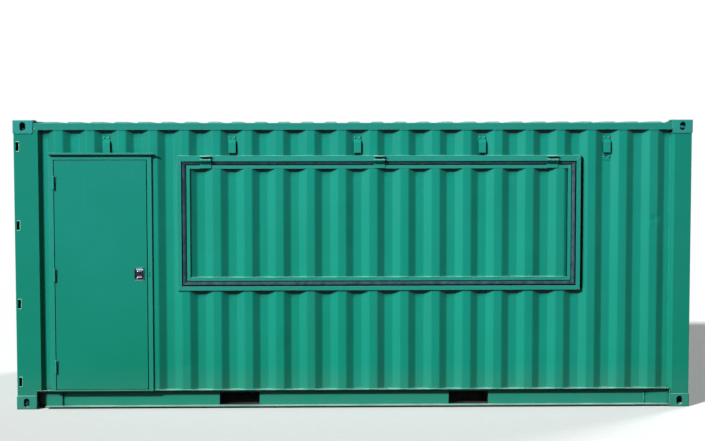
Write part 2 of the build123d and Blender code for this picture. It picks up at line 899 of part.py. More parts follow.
def hatch_leaf_frame():
    """The flap's frame, a channel section open to the inside."""
    x = (flap_left, flap_right)
    z = (flap_bottom, flap_top)
    inner_x = grown(x, -hatch_leaf_face)
    inner_z = grown(z, -hatch_leaf_face)
    y = (flap_face_y, flap_back_y)
    ring = block(x, y, z) - block(inner_x, y, inner_z)
    pocket_y = (flap_face_y + hatch_leaf_wall, flap_back_y)
    pocket = block(grown(x, -hatch_leaf_wall), pocket_y, grown(z, -hatch_leaf_wall))
    pocket -= block(grown(inner_x, hatch_leaf_wall), pocket_y, grown(inner_z, hatch_leaf_wall))
    return [ring - pocket]


def hatch_panel():
    """The piece of side wall that was cut out for the opening and now fills the flap."""
    return [side_wall(
        flap_left + hatch_leaf_face,
        flap_right - hatch_leaf_face,
        flap_bottom + hatch_leaf_face,
        flap_top - hatch_leaf_face,
    )]


def hatch_seal():
    """The rubber seal around the flap."""
    y = (seal_face_y, seal_back_y)
    ring = block((seal_left, seal_right), y, (seal_bottom, seal_top))
    return [ring - block((flap_left, flap_right), y, (flap_bottom, flap_top))]


def hatch_knuckles(start, end, radius):
    """A round piece on the hatch's axis."""
    turned = Plane.YZ * Pos(hatch_axis_y, hatch_axis_z) * Circle(radius)
    return Pos(start, 0, 0) * extrude(turned, amount=end - start)


def hatch_hinge_frame_halves():
    """The fixed halves: a plate on the head with its top bent out as a cap, two knuckles and the pin."""
    halves = []
    plate = hatch_hinge_plate
    web = hatch_hinge_radius / 2
    cap_top = hatch_frame_top - hatch_hinge_cap_drop
    reach = hatch_hinge_radius + plate
    half_gap = hatch_knuckle / 2 + hatch_knuckle_gap
    for middle in hatch_hinge_places:
        x = (middle - hatch_hinge_width / 2, middle + hatch_hinge_width / 2)
        piece = block(x, (frame_face_y - plate, frame_face_y), (hatch_axis_z - web, cap_top))
        piece += block(x, (frame_face_y - hatch_hinge_cap_reach, frame_face_y), (cap_top - plate, cap_top))
        piece += block(x, (hatch_axis_y, frame_face_y), (hatch_axis_z - web, hatch_axis_z + web))
        piece += hatch_knuckles(*x, hatch_hinge_radius)
        piece -= block(
            (middle - half_gap, middle + half_gap),
            (hatch_axis_y - reach, frame_face_y),
            (hatch_axis_z - reach, hatch_axis_z + reach),
        )
        piece += hatch_knuckles(*x, hatch_pin_radius)
        halves.append(piece)
    return halves


def hatch_hinge_leaf_halves():
    """The moving halves: a knuckle on the pin, a neck over the seal and a foot on the flap."""
    halves = []
    plate = hatch_hinge_plate
    face = flap_face_y
    foot_top = seal_top - hatch_seal_top / 2
    low = flap_top - hatch_leaf_face + plate
    neck = [
        (face, foot_top - plate),
        (face - plate, foot_top - plate),
        (hatch_axis_y - hatch_hinge_radius, hatch_axis_z),
        (hatch_axis_y, hatch_axis_z),
        (hatch_axis_y + hatch_hinge_radius / 2, hatch_axis_z - hatch_hinge_radius),
        (face, foot_top),
    ]
    for middle in hatch_hinge_places:
        x = (middle - hatch_knuckle / 2, middle + hatch_knuckle / 2)
        wide = (middle - hatch_hinge_width / 2, middle + hatch_hinge_width / 2)
        piece = along_x(neck, *wide) - hatch_knuckles(*wide, hatch_hinge_radius + hatch_neck_clearance)
        piece += block(wide, (face - plate, face), (low, foot_top - plate))
        piece += along_x(neck, *x)
        piece += hatch_knuckles(*x, hatch_hinge_radius)
        piece -= hatch_knuckles(*x, hatch_pin_radius + hatch_pin_play)
        halves.append(piece)
    return halves


def vent(centre, top):
    """A pressed vent cover on an inner flat: a tab, a hood open underneath and a lower tab."""
    back = inner_flat_plane
    tab = back - vent_tab_thickness
    nose = back - vent_hood_depth
    hood_top = top - vent_tab_top
    hood_bottom = hood_top - vent_hood_height
    bottom = top - vent_height
    wall = vent_tab_thickness
    points = [
        (back, top),
        (back, bottom),
        (tab, bottom),
        (tab, hood_bottom),
        (nose, hood_bottom),
        (nose, hood_top - vent_hood_depth),
        (tab, hood_top),
        (tab, top),
    ]
    cover = along_x(points, centre - vent_width / 2, centre + vent_width / 2)
    hollow = [
        (tab, hood_bottom),
        (nose + wall, hood_bottom),
        (nose + wall, hood_top - vent_hood_depth - wall),
        (tab, hood_top - 2 * wall),
    ]
    inside = along_x(hollow, centre - vent_width / 2 + wall, centre + vent_width / 2 - wall)
    return cover - inside


def vent_places():
    """The middles of the vents, on inner flats that are a whole number of waves apart."""
    first_flat = door_end + wave_start + wave_slope + wave_inner_flat / 2
    waves = int((wall_finish - first_flat) // wave_pitch)
    step = (waves - vent_last_margin) // (vent_count - 1)
    return [first_flat + (vent_first + n * step) * wave_pitch for n in range(vent_count)]


def wall_vents():
    """Five vent covers on each side wall, cut short where a frame stands in front of them."""
    vents = []
    door_space = block((frame_left, frame_right), (front, 0), (0, frame_top + drip_rail_wall))
    hatch_space = block((hatch_left, hatch_right), (front, 0), (0, hatch_frame_top))
    for centre in vent_places():
        whole = vent(centre, top_rail_bottom - vent_top_drop)
        vents += [whole - door_space - hatch_space, mirror(whole, about=Plane.XZ)]
    return vents


def cargo_hinge_levels():
    """The middles of the hinges on each cargo door."""
    pitch = (height - cargo_hinge_from_top - cargo_hinge_from_bottom) / (cargo_hinge_count - 1)
    return [cargo_hinge_from_bottom + n * pitch for n in range(cargo_hinge_count)]


def cargo_leaf_box():
    """The space of the front cargo door along X, Y and Z."""
    x = (beam_face_x(), beam_face_x() + cargo_leaf_thickness)
    edge = cargo_gap + cargo_seal_width
    y = (front + rail_inset + door_post_lip + edge, -cargo_gap / 2 - cargo_seal_width)
    z = (bottom_rail_top + edge, casting_top_z - edge)
    return x, y, z


def cargo_door_frames():
    """The frame of each cargo door, a channel section open to the inside."""
    x, y, z = cargo_leaf_box()
    inner_y = grown(y, -cargo_stile)
    inner_z = grown(z, -cargo_rail)
    frame = block(x, y, z) - block(x, inner_y, inner_z)
    pocket_x = (x[0] + cargo_leaf_wall, x[1])
    pocket = block(pocket_x, grown(y, -cargo_leaf_wall), grown(z, -cargo_leaf_wall))
    pocket -= block(pocket_x, grown(inner_y, cargo_leaf_wall), grown(inner_z, cargo_leaf_wall))
    return both_sides(frame - pocket)


def cargo_door_panels():
    """The corrugated panel inside each cargo door frame."""
    x, y, z = cargo_leaf_box()
    start, end = grown(y, -cargo_stile)
    flats = (cargo_panel_outer, cargo_panel_inner)
    wave = wave_points(start, end, start + cargo_panel_outer, *flats, cargo_panel_slope, cargo_panel_depth)
    outline = [(x[0] + cargo_leaf_wall + d, place) for place, d in sheet_outline(wave, sheet)]
    return both_sides(upright(outline, *grown(z, -cargo_rail)))


def cargo_door_seals():
    """The rubber seal around each cargo door."""
    x, y, z = cargo_leaf_box()
    seal_x = (x[0] + cargo_leaf_wall, x[0] + cargo_leaf_wall + cargo_seal_thickness)
    ring = block(seal_x, grown(y, cargo_seal_width), grown(z, cargo_seal_width)) - block(seal_x, y, z)
    return both_sides(ring)


def cargo_door_hinges():
    """A forged blade at each hinge, with its pin beside the notch in the post."""
    x, y, z = cargo_leaf_box()
    pin_y = front + rail_inset + door_post_lip / 2
    pin_x = x[0] - cargo_hinge_blade / 2
    hinges = []
    for level in cargo_hinge_levels():
        tall = (level - cargo_hinge_height / 2, level + cargo_hinge_height / 2)
        blade = block((x[0] - cargo_hinge_blade, x[0]), (pin_y, y[0] + cargo_stile), tall)
        place = Pos(pin_x, pin_y, level)
        blade += place * Cylinder(cargo_hinge_pin_radius, notch_height)
        hinges += both_sides(blade)
    return hinges


def bar_places():
    """The distances of the two locking bars from the middle of the container."""
    x, y, z = cargo_leaf_box()
    return [-y[1] + bar_inner_distance, -y[0] - bar_outer_distance]


def bar_axis_x():
    """The locking bars stand just off the face of the doors."""
    return cargo_leaf_box()[0][0] - bar_stand_off - bar_radius


def bar_ends():
    """The levels of the bottom and the top of each locking bar."""
    return (bottom_rail_top - cam_height / 2, casting_top_z + cam_height / 2)


def lock_bars():
    """Round locking bars down the face of the cargo doors, with a flat cam at each end."""
    low, high = bar_ends()
    axis_x = bar_axis_x()
    bars = []
    for distance in bar_places():
        place = Pos(axis_x, -distance, low)
        bar = place * Cylinder(bar_radius, high - low, align=(Align.CENTER, Align.CENTER, Align.MIN))
        for level in (low, high - cam_height):
            bar += block(
                (axis_x - cam_thickness / 2, axis_x + cam_thickness / 2),
                (-distance - cam_width / 2, -distance + cam_width / 2),
                (level, level + cam_height),
            )
        bars += both_sides(bar)
    return bars


def bar_brackets():
    """Saddles that hold each locking bar to the door."""
    x, y, z = cargo_leaf_box()
    axis_x = bar_axis_x()
    brackets = []
    for distance in bar_places():
        for level in bar_bracket_levels():
            tall = (level - bracket_height / 2, level + bracket_height / 2)
            saddle = block((axis_x, x[0]), grown((-distance, -distance), bar_radius + bracket_wall), tall)
            saddle += Pos(axis_x, -distance, level) * Cylinder(bar_radius + bracket_wall, bracket_height)
            saddle += block(
                (x[0] - bracket_wall, x[0]),
                grown((-distance, -distance), bar_radius + bracket_foot),
                tall,
            )
            saddle -= Pos(axis_x, -distance, level) * Cylinder(bar_radius + bracket_play, bracket_height)
            brackets += both_sides(saddle)
    return brackets


def bar_bracket_levels():
    """The levels of the saddles along a locking bar."""
    x, y, z = cargo_leaf_box()
    middle = (z[0] + z[1]) / 2
    return (z[0] + cargo_rail / 2, middle, z[1] - cargo_rail / 2)


def lock_keepers():
    """A pair of jaws on the header and on the sill for each cam."""
    low, high = bar_ends()
    reach = (bar_axis_x() - cam_thickness / 2, beam_face_x())
    jaws = []
    for distance in bar_places():
        for level in (low + cam_height / 2 - keeper_height, high - cam_height / 2):
            for side in (-1, 1):
                inner = -distance + side * (cam_width / 2 + keeper_play)
                outer = inner + side * keeper_thickness
                jaw = block(reach, (min(inner, outer), max(inner, outer)), (level, level + keeper_height))
                jaws += both_sides(jaw)
    return jaws


def lock_handles():
    """A flat handle on each locking bar, lying across the door."""
    axis_x = bar_axis_x()
    handles = []
    inner_bar, outer_bar = bar_places()
    for bar, way, level in ((inner_bar, 1, handle_level), (outer_bar, -1, handle_level + handle_level_gap)):
        start = -bar - way * bar_radius
        end = start - way * handle_length
        handle = block(
            (axis_x - handle_thickness / 2, axis_x + handle_thickness / 2),
            (min(start, end), max(start, end)),
            (level - handle_height / 2, level + handle_height / 2),
        )
        handles += both_sides(handle)
    return handles


os.makedirs("parts", exist_ok=True)

save("corner_castings", corner_castings())
save("cargo_end_posts", door_end_posts())
save("blind_end_posts", blind_end_posts())
save("top_side_rails", top_side_rails())
save("bottom_side_rails", bottom_side_rails())
save("cargo_header_and_sill", cargo_beams())
save("blind_end_rails", end_rails())
save("fork_tunnels", fork_tunnels())
save("cross_members", cross_members())
save("floor", floor())
save("roof", roof())
save("roof_end_plates", roof_end_plates())
save("roof_corner_plates", roof_corner_plates())
save("end_wall", end_wall())
whole_wall = side_wall(wall_start, wall_finish, bottom_rail_top, top_rail_bottom)
save("back_wall", [mirror(whole_wall, about=Plane.XZ)])
save("front_wall_ends", [
    side_wall(wall_start, frame_left, bottom_rail_top, top_rail_bottom),
    side_wall(hatch_right, wall_finish, bottom_rail_top, top_rail_bottom),
])
save("front_wall_between", [side_wall(frame_right, hatch_left, bottom_rail_top, top_rail_bottom)])
save("front_wall_over_openings", [
    side_wall(frame_left, frame_right, frame_top, top_rail_bottom),
    side_wall(hatch_left, hatch_right, hatch_frame_top, top_rail_bottom),
])
save("front_wall_under_hatch", [side_wall(hatch_left, hatch_right, bottom_rail_top, hatch_frame_bottom)])
save("door_jambs", door_jambs())
save("door_head", door_head())
save("frame_stops", door_stops() + hatch_stops())
save("door_threshold", threshold())
save("door_drip_rail", drip_rail())
save("hinge_frame_halves", door_hinge_frame_halves() + hatch_hinge_frame_halves())
save("door_leaf", door_leaf())
save("door_stiffeners", door_stiffeners())
save("door_hinge_leaf_halves", door_hinge_leaf_halves())
save("door_latch_dish", latch_dish())
save("door_latch_paddle", latch_paddle())
save("hatch_frame_rails", hatch_frame_rails())
save("hatch_frame_stiles", hatch_frame_stiles())
save("hatch_leaf_frame", hatch_leaf_frame())
save("hatch_panel", hatch_panel())
save("hatch_seal", hatch_seal())
save("hatch_hinge_leaf_halves", hatch_hinge_leaf_halves())
save("wall_vents", wall_vents())
save("cargo_door_frames", cargo_door_frames())
save("cargo_door_panels", cargo_door_panels())
save("cargo_door_seals", cargo_door_seals())
save("cargo_door_hinges", cargo_door_hinges())
save("lock_bars", lock_bars())
save("lock_bar_brackets", bar_brackets())
save("lock_keepers", lock_keepers())
save("lock_handles", lock_handles())
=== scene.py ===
# %% [markdown]
# # Dressing a container cabin
#
# The object is a 20 ft freight container that was made into a cabin: a flat steel door and a long
# serving hatch are cut into one corrugated side. The solids come from the CAD model and stay where
# they are. This lesson gives them their finish and adds what is too fine for CAD: weld beads, screws,
# rubber lips, pressed sheet with its dents. Everything is in metres: X runs along the container,
# -Y points out through the wall with the door, and Z is up.

# %% Load the model as a fixed frame
import functools
import math

import bmesh
import bpy
import numpy as np
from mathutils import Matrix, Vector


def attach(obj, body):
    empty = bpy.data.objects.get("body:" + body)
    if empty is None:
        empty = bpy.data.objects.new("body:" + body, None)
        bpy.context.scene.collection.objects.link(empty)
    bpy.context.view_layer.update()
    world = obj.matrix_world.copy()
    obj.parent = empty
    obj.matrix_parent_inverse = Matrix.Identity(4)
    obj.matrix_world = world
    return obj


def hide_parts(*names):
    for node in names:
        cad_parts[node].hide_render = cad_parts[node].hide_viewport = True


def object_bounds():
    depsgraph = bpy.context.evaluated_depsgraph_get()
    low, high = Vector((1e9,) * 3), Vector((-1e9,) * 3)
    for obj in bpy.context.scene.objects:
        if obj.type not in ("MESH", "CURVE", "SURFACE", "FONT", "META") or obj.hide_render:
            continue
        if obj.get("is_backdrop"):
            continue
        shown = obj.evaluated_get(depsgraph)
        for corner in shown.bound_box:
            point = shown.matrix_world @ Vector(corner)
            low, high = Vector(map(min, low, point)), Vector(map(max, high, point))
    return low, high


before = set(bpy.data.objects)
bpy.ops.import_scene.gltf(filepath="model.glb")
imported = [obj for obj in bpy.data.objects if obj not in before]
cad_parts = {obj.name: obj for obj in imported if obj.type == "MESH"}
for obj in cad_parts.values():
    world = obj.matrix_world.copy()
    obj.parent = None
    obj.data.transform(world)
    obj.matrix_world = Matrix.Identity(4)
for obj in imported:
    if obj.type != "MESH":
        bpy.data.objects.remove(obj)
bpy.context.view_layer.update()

# %% [markdown]
# ## Helpers for materials
#
# Paint colours are read off the real thing as sRGB hex values, but a shader works in linear light,
# so one function does the change. A material is a small graph of nodes. One function adds a node, sets
# its properties and fills its sockets, so each material reads as a list of steps.

# %% Colour and node helpers

MM = 0.001


def linear(colour):
    """An sRGB hex colour as linear RGBA: each channel c becomes ((c + 0.055) / 1.055) to the 2.4."""
    channels = [int(colour[i:i + 2], 16) / 255 for i in (1, 3, 5)]
    curved = [c / 12.92 if c <= 0.04045 else ((c + 0.055) / 1.055) ** 2.4 for c in channels]
    return (*curved, 1.0)


def add_node(tree, kind, sockets=(), **settings):
    """Adds one node. Settings are its properties. Sockets go by name in a dict, or from the top down in a
    list, such as value, from low, from high, to low, to high for MapRange. Each takes a plain value, an
    output of another node, or a node, which stands for its first output."""
    made = tree.nodes.new("ShaderNode" + kind)
    for name, value in settings.items():
        setattr(made, name, value)
    named = sockets if isinstance(sockets, dict) else dict(enumerate(sockets))
    for key, value in named.items():
        if isinstance(value, bpy.types.Node):
            value = value.outputs[0]
        if isinstance(value, bpy.types.NodeSocket):
            tree.links.new(value, made.inputs[key])
        else:
            made.inputs[key].default_value = value
    return made


def new_material(name):
    """An empty material, the function that adds nodes to it, and the object coordinates of its patterns."""
    made = bpy.data.materials.new(name)
    made.use_nodes = True
    made.node_tree.nodes.clear()
    node = functools.partial(add_node, made.node_tree)
    return made, node, node("TexCoord").outputs["Object"]


print("paint green in linear light:", [round(c, 3) for c in linear("#1f8a74")])

# %% [markdown]
# Painted shade: ambient occlusion measures how open the space around a normal is, and where it is closed,
# under ledges and in corners where shade falls, the paint is darkened. The normal is turned towards the
# side the light comes from first, so only what lies in its lee is darkened.

# %% Painted shade in the lee of the light


def lee_shade(node, light_side, reach, clean, black, most):
    """The share of painted shade, 0 to most. The openness within reach of the normal turned towards the light
    is 1 in the open, and the share grows as it falls from clean to black."""
    turned_over = node("VectorMath", [node("NewGeometry").outputs["Normal"], light_side], operation="ADD")
    toward_light = node("VectorMath", [turned_over], operation="NORMALIZE")
    openness = node("AmbientOcclusion", {"Distance": reach, "Normal": toward_light}, samples=8).outputs["AO"]
    return node("MapRange", [openness, clean, black, 0.0, most])


# %% [markdown]
# ## Sea-green enamel on steel
#
# The whole container is sprayed with one alkyd enamel: a saturated sea green with a soft gloss. A few
# years outdoors leave traces that make it read as steel and not as plastic. Large areas fade unevenly,
# rain draws faint streaks down the walls, and dust settles on ledges and splashes up from the ground.
# Upper edges are painted lighter as a highlight, what lies in the lee of the light gets painted shade,
# and slopes that face the sun are painted a shade darker. The paint is thin and scuffed on sharp edges.
# Sheet that was pressed and welded is never quite flat, so a very broad bump bends its reflections, and a
# fine one is the orange peel of the spray gun. The Bevel node rounds the sharp folds of the solids, as a
# press brake does.

# %% The weathered colour, with painted shade and painted highlight

TOP_OF_RAIL = 2.56


def weathered_and_shaded_colour(node, place, blotch, rounded, low_colour, high_colour, streak, dirt, ledge_dust_and_highlight, sunlit_slope_shade):
    """A green that turns lighter with height, and over it layers of (mask, colour), mixed in one after the
    other: weathering, painted shade and painted highlight. Each mask is a pattern or a direction, cut off
    at two values."""
    spot = node("SeparateXYZ", [place]).outputs
    # the green turns lighter towards the roof, in uneven patches of 1.4 m
    rise = node("MapRange", [spot["Z"], 0.0, TOP_OF_RAIL])
    fade = node("TexNoise", {"Vector": place, "Scale": 1 / 1.4, "Detail": 3.0})
    patchy = node("MapRange", [fade, 0.3, 0.7, -0.25, 0.25])
    faded = node("Math", [rise, patchy], operation="ADD", use_clamp=True)
    # darker mottling, and darker towards the blind end
    mottle = node("MapRange", [blotch, 0.35, 0.75, 0.0, 0.10])
    darker_to_blind_end = node("MapRange", [spot["X"], 1.0, 3.0, 0.0, 0.26])
    uneven = node("Math", [mottle, darker_to_blind_end], operation="ADD")
    # rain streaks: a noise stretched to 1.6 m tall and 40 mm wide
    tall = node("Mapping", {"Vector": place, "Scale": (1.0, 1.0, 0.025)})
    rain = node("TexNoise", {"Vector": tall, "Scale": 1 / (40 * MM), "Detail": 5.0, "Roughness": 0.65})
    streaks = node("MapRange", [rain, 0.52, 0.80, 0.0, streak])
    # dust thrown up from the ground, up to 0.4 m, broken up by the blotches
    thrown = node("MapRange", [spot["Z"], 0.0, 0.40, 0.6 * dirt, 0.0])
    splash = node("Math", [thrown, blotch], operation="MULTIPLY")
    # pale dust on ledges, and a painted highlight on upper edges: where the rounded surface looks up
    facing = node("SeparateXYZ", [rounded]).outputs
    upward_dust_and_highlight = node("MapRange", [facing["Z"], 0.25, 0.75, 0.0, 2.0 * ledge_dust_and_highlight])
    dust = node("Math", [upward_dust_and_highlight, blotch], operation="MULTIPLY", use_clamp=True)
    # edges: where the rounded normal differs from the true one the film is thin, with nicks of 35 mm
    bend = node("VectorMath", [rounded, node("NewGeometry").outputs["Normal"]], operation="DOT_PRODUCT")
    edge = node("MapRange", [bend.outputs["Value"], 0.90, 0.70])
    nick = node("TexNoise", {"Vector": place, "Scale": 1 / (35 * MM), "Detail": 6.0, "Roughness": 0.7})
    chip = node("Math", [edge, node("MapRange", [nick, 0.60, 0.68, 0.0, 0.7])], operation="MULTIPLY")
    # painted shade: what lies within 90 mm in the lee of the light, which comes from overhead and
    # from -X, turns near black
    painted_shade = lee_shade(node, (-0.8, 0.0, 0.8), 90 * MM, 0.53, 0.41, 0.95)
    layers = [(uneven, "#07604f"), (streaks, "#3c5a50"), (splash, "#6f8474"), (dust, "#a5d0c2"), (chip, "#34493f"),
              (painted_shade, "#021d22")]
    if sunlit_slope_shade:
        # painted shade: slopes that face -X, where the sun comes from, are painted a darker green, most
        # below the top rail and towards the cargo end, so they look less lit
        sun_facing = node("MapRange", [facing["X"], -0.25, -0.42])
        reach = node("MapRange", [spot["X"], 2.6, -2.9, 0.0, sunlit_slope_shade])
        below_rail = node("MapRange", [spot["Z"], 2.10, 2.28, 0.35, 1.0])
        thick = node("Math", [reach, below_rail], operation="MULTIPLY")
        layers.append((node("Math", [sun_facing, thick], operation="MULTIPLY"), "#054a3e"))
    colour = node("MixRGB", [faded, linear(low_colour), linear(high_colour)])
    for mask, tint in layers:
        colour = node("MixRGB", [mask, colour, linear(tint)])
    return colour


# %% [markdown]
# The film has a relief as well: broad press marks of the sheet, the orange peel of the spray, and under it
# the ripples of a weld or the sand grain of a casting. Each Bump node starts from the normal of the one
# before it. A wave texture repeats every 0.314 / scale.

# %% The skin of the paint


def paint_skin(node, place, rounded, ripple, cast_grain):
    """The normal of the paint: press marks of 450 mm, peel of 6 mm, weld ripples of 5 mm, grain of 9 mm."""
    waves = node("TexNoise", {"Vector": place, "Scale": 1 / 0.45, "Detail": 1.0})
    pressed = node("Bump", {"Height": waves, "Strength": 0.35, "Distance": 14 * MM, "Normal": rounded})
    peel = node("TexNoise", {"Vector": place, "Scale": 1 / (6 * MM), "Detail": 2.0})
    normal = node("Bump", {"Height": peel, "Strength": 0.08, "Distance": 0.5 * MM, "Normal": pressed})
    if ripple:
        # u of the piece's own map runs along the bead in metres
        bead = node("UVMap", uv_map="along")
        pool = node("TexWave", {"Vector": bead, "Scale": 0.314 / (5 * MM), "Distortion": 1.5, "Detail": 1.0},
                    bands_direction="X").outputs["Fac"]
        normal = node("Bump", {"Height": pool, "Strength": ripple, "Distance": 1.0 * MM, "Normal": normal})
    if cast_grain:
        grain = node("TexNoise", {"Vector": place, "Scale": 1 / (9 * MM), "Detail": 5.0, "Roughness": 0.65})
        normal = node("Bump", {"Height": grain, "Strength": cast_grain, "Distance": 1.5 * MM, "Normal": normal})
    return normal


# %% The enamel


def enamel(name, low_colour, high_colour, roughness, streak, dirt, ledge_dust_and_highlight, fold_radius, cast_grain=0.0,
           ripple=0.0, sunlit_slope_shade=0.0):
    """Enamel over steel, with blotches of 220 mm and folds rounded by a radius."""
    made, node, place = new_material(name)
    blotch = node("TexNoise", {"Vector": place, "Scale": 1 / 0.22, "Detail": 4.0, "Roughness": 0.6})
    rounded = node("Bevel", {"Radius": fold_radius}, samples=4)
    colour = weathered_and_shaded_colour(node, place, blotch, rounded, low_colour, high_colour, streak, dirt, ledge_dust_and_highlight, sunlit_slope_shade)
    rough = node("MapRange", [blotch, 0.3, 0.8, roughness - 0.05, roughness + 0.12])
    normal = paint_skin(node, place, rounded, ripple, cast_grain)
    shader = node("BsdfPrincipled", {"Base Color": colour, "Roughness": rough, "IOR": 1.50,
                                     "Specular IOR Level": 0.14, "Normal": normal})
    node("OutputMaterial", [shader])
    return made


# %% [markdown]
# One recipe makes every painted finish. They differ in the two greens that the colour runs between, from
# the ground to the roof rail, in roughness, and in how much rain, dirt, dust and painted highlight they
# take. The roof is chalked by the sun. The insect mesh is painted near black as painted shade, and welds
# and cut edges are painted a paler green as painted highlights.

# %% The painted finishes

# name, low and high colour, roughness, streaks, dirt, dust and painted highlight on ledges, radius of folds
# the pressed sheet also takes painted shade on its slopes that face the sun
wall_enamel = enamel("sea_green_enamel_on_pressed_sheet", "#088069", "#128b7b", 0.36, 0.22, 0.55, 0.35, 6 * MM,
                     sunlit_slope_shade=0.40)
leaf_enamel = enamel("sea_green_enamel_on_flat_sheet", "#077b63", "#168579", 0.32, 0.10, 0.35, 0.6, 3 * MM)
post_enamel = enamel("sea_green_enamel_on_posts", "#077a62", "#108171", 0.34, 0.16, 0.35, 0.6, 4 * MM)
frame_enamel = enamel("sea_green_enamel_on_new_steel", "#16836e", "#248d81", 0.30, 0.10, 0.35, 0.4, 4 * MM)
rail_enamel = enamel("sea_green_enamel_on_welded_rails", "#157b66", "#1f867a", 0.38, 0.22, 0.25, 0.9, 5 * MM)
casting_enamel = enamel("sea_green_enamel_on_cast_steel", "#1c8270", "#2f918d", 0.42, 0.25, 0.40, 0.8, 6 * MM,
                        cast_grain=0.5)
cover_enamel = enamel("sea_green_enamel_on_thin_covers", "#108470", "#188d7d", 0.34, 0.10, 0.30, 0.0, 3 * MM)
roof_enamel = enamel("chalked_enamel_on_the_roof", "#2b8877", "#378f80", 0.76, 0.30, 0.10, 0.25, 6 * MM)
# painted shade: the insect mesh is painted near black green, as the shade inside the vent hoods
mesh_shade_enamel = enamel("dark_enamel_on_insect_mesh_painted_shade", "#05453a", "#074f43", 0.55, 0.10, 0.10, 0.1, 1 * MM)
# painted highlight: welds, washers and spatter are painted paler than the frames, to show as light lines
weld_highlight_enamel = enamel("pale_enamel_on_weld_beads_painted_highlight", "#2a917d", "#3aa193", 0.34, 0.10, 0.40, 0.45, 1 * MM,
                     ripple=0.6)
# painted highlight: notch rims and the rolled edges of the hinge covers are painted pale, to show as light lines
rim_highlight_enamel = enamel("pale_enamel_on_cut_edges_painted_highlight", "#4fae9a", "#6cc3b4", 0.36, 0.05, 0.10, 0.9, 1 * MM, ripple=0.6)
print("enamels:", [material.name for material in bpy.data.materials if "enamel" in material.name])

# %% [markdown]
# ## Rubber and plating
#
# The weatherstrip is EPDM rubber: near black, matt, with a bluish bloom and dust in it. The latch dish is
# chromium plate, a mirror with fine wiping scratches, and the lock in it is plated with black nickel. The
# bright and dark parts of both are painted reflections.

# %% Rubber and plating


def weatherstrip_rubber(name):
    """Extruded EPDM: black, with a bloom in patches of about 60 mm, and painted shade where something overhangs it.
    """
    made, node, place = new_material(name)
    bloom = node("TexNoise", {"Vector": place, "Scale": 1 / (60 * MM), "Detail": 4.0, "Roughness": 0.6})
    patch = node("MapRange", [bloom, 0.35, 0.75])
    colour = node("MixRGB", [patch, linear("#132c34"), linear("#345a68")])
    # painted shade: where the frame or a hinge overhangs the rubber, it is darkened
    painted_shade = lee_shade(node, (0.0, 0.0, 0.8), 60 * MM, 0.62, 0.40, 0.85)
    colour = node("MixRGB", [painted_shade, colour, linear("#06161d")])
    grain = node("TexNoise", {"Vector": place, "Scale": 1 / (4 * MM), "Detail": 3.0})
    bump = node("Bump", {"Height": grain, "Strength": 0.25, "Distance": 0.6 * MM})
    shader = node("BsdfPrincipled", {"Base Color": colour, "Roughness": 0.55, "IOR": 1.52,
                                     "Specular IOR Level": 0.25, "Normal": bump})
    node("OutputMaterial", [shader])
    return made


def chromium_with_painted_reflections(name, sky_reflection, white_glint, dark_reflection):
    """Plating over pressed steel, with wiping scratches about 1 mm apart. Its colour is painted reflection:
    where it slopes up or down it is bright, and what faces forward or sideways is painted dark. Slopes that
    look down take a bluish painted sky reflection, slopes that look up a neutral painted glint."""
    made, node, place = new_material(name)
    stretched = node("Mapping", {"Vector": place, "Scale": (1.0, 1.0, 12.0)})
    wipe = node("TexNoise", {"Vector": stretched, "Scale": 1 / (9 * MM), "Detail": 4.0})
    tilt = node("SeparateXYZ", [node("NewGeometry").outputs["Normal"]]).outputs["Z"]
    looks_up = node("MapRange", [tilt, 0.22, 0.42])
    looks_down = node("MapRange", [tilt, -0.32, -0.45])
    colour = node("MixRGB", [looks_up, linear(dark_reflection), linear(white_glint)])
    colour = node("MixRGB", [looks_down, colour, linear(sky_reflection)])
    rough = node("MapRange", [wipe, 0.3, 0.8, 0.08, 0.24])
    bump = node("Bump", {"Height": wipe, "Strength": 0.05, "Distance": 0.2 * MM})
    shader = node("BsdfPrincipled", {"Base Color": colour, "Metallic": 1.0, "Roughness": rough, "Normal": bump})
    node("OutputMaterial", [shader])
    return made


rubber = weatherstrip_rubber("epdm_weatherstrip_rubber")
# painted reflections: a bluish sky, a white glint and a dark middle, set by the way each surface slopes
chrome = chromium_with_painted_reflections("chromium_plated_steel", "#bfeaf8", "#e2e4ec", "#3b3448")
black_nickel = chromium_with_painted_reflections("black_nickel_plated_lock", "#39404c", "#565d6a", "#171b24")
print("seals and latch:", rubber.name, chrome.name, black_nickel.name)

# %% [markdown]
# ## Plywood and undercoat
#
# The floor is phenolic-faced plywood laid in boards, dark red-brown with grain along the boards and a
# worn track. Under the floor the steel wears a thick black bitumen undercoat that never looks clean.

# %% Plywood and undercoat


def phenolic_plywood(name, board_length, board_width):
    """Boards as a brick pattern with thin dark joints, and a grain stretched along each board."""
    made, node, place = new_material(name)
    boards = node("TexBrick", {
        "Vector": place, "Scale": 1.0, "Brick Width": board_length, "Row Height": board_width,
        "Mortar Size": 2.5 * MM, "Mortar Smooth": 0.2, "Bias": 0.0,
        "Color1": linear("#6b3f2b"), "Color2": linear("#7c4d35"), "Mortar": linear("#1c120d"),
    }, offset=0.5)
    along = node("Mapping", {"Vector": place, "Scale": (1.0, 14.0, 1.0)})
    grain = node("TexNoise", {"Vector": along, "Scale": 9.0, "Detail": 8.0, "Roughness": 0.7})
    fibre = node("MapRange", [grain, 0.3, 0.75, 0.0, 0.55])
    colour = node("MixRGB", [fibre, boards, linear("#3d2419")])
    scuff = node("TexNoise", {"Vector": place, "Scale": 3.5, "Detail": 6.0, "Roughness": 0.65})
    track = node("MapRange", [scuff, 0.52, 0.72, 0.0, 0.45])
    colour = node("MixRGB", [track, colour, linear("#a58f7b")])
    bump = node("Bump", {"Height": grain, "Strength": 0.2, "Distance": 0.8 * MM})
    shader = node("BsdfPrincipled", {"Base Color": colour, "Roughness": 0.55, "IOR": 1.5, "Normal": bump})
    node("OutputMaterial", [shader])
    return made


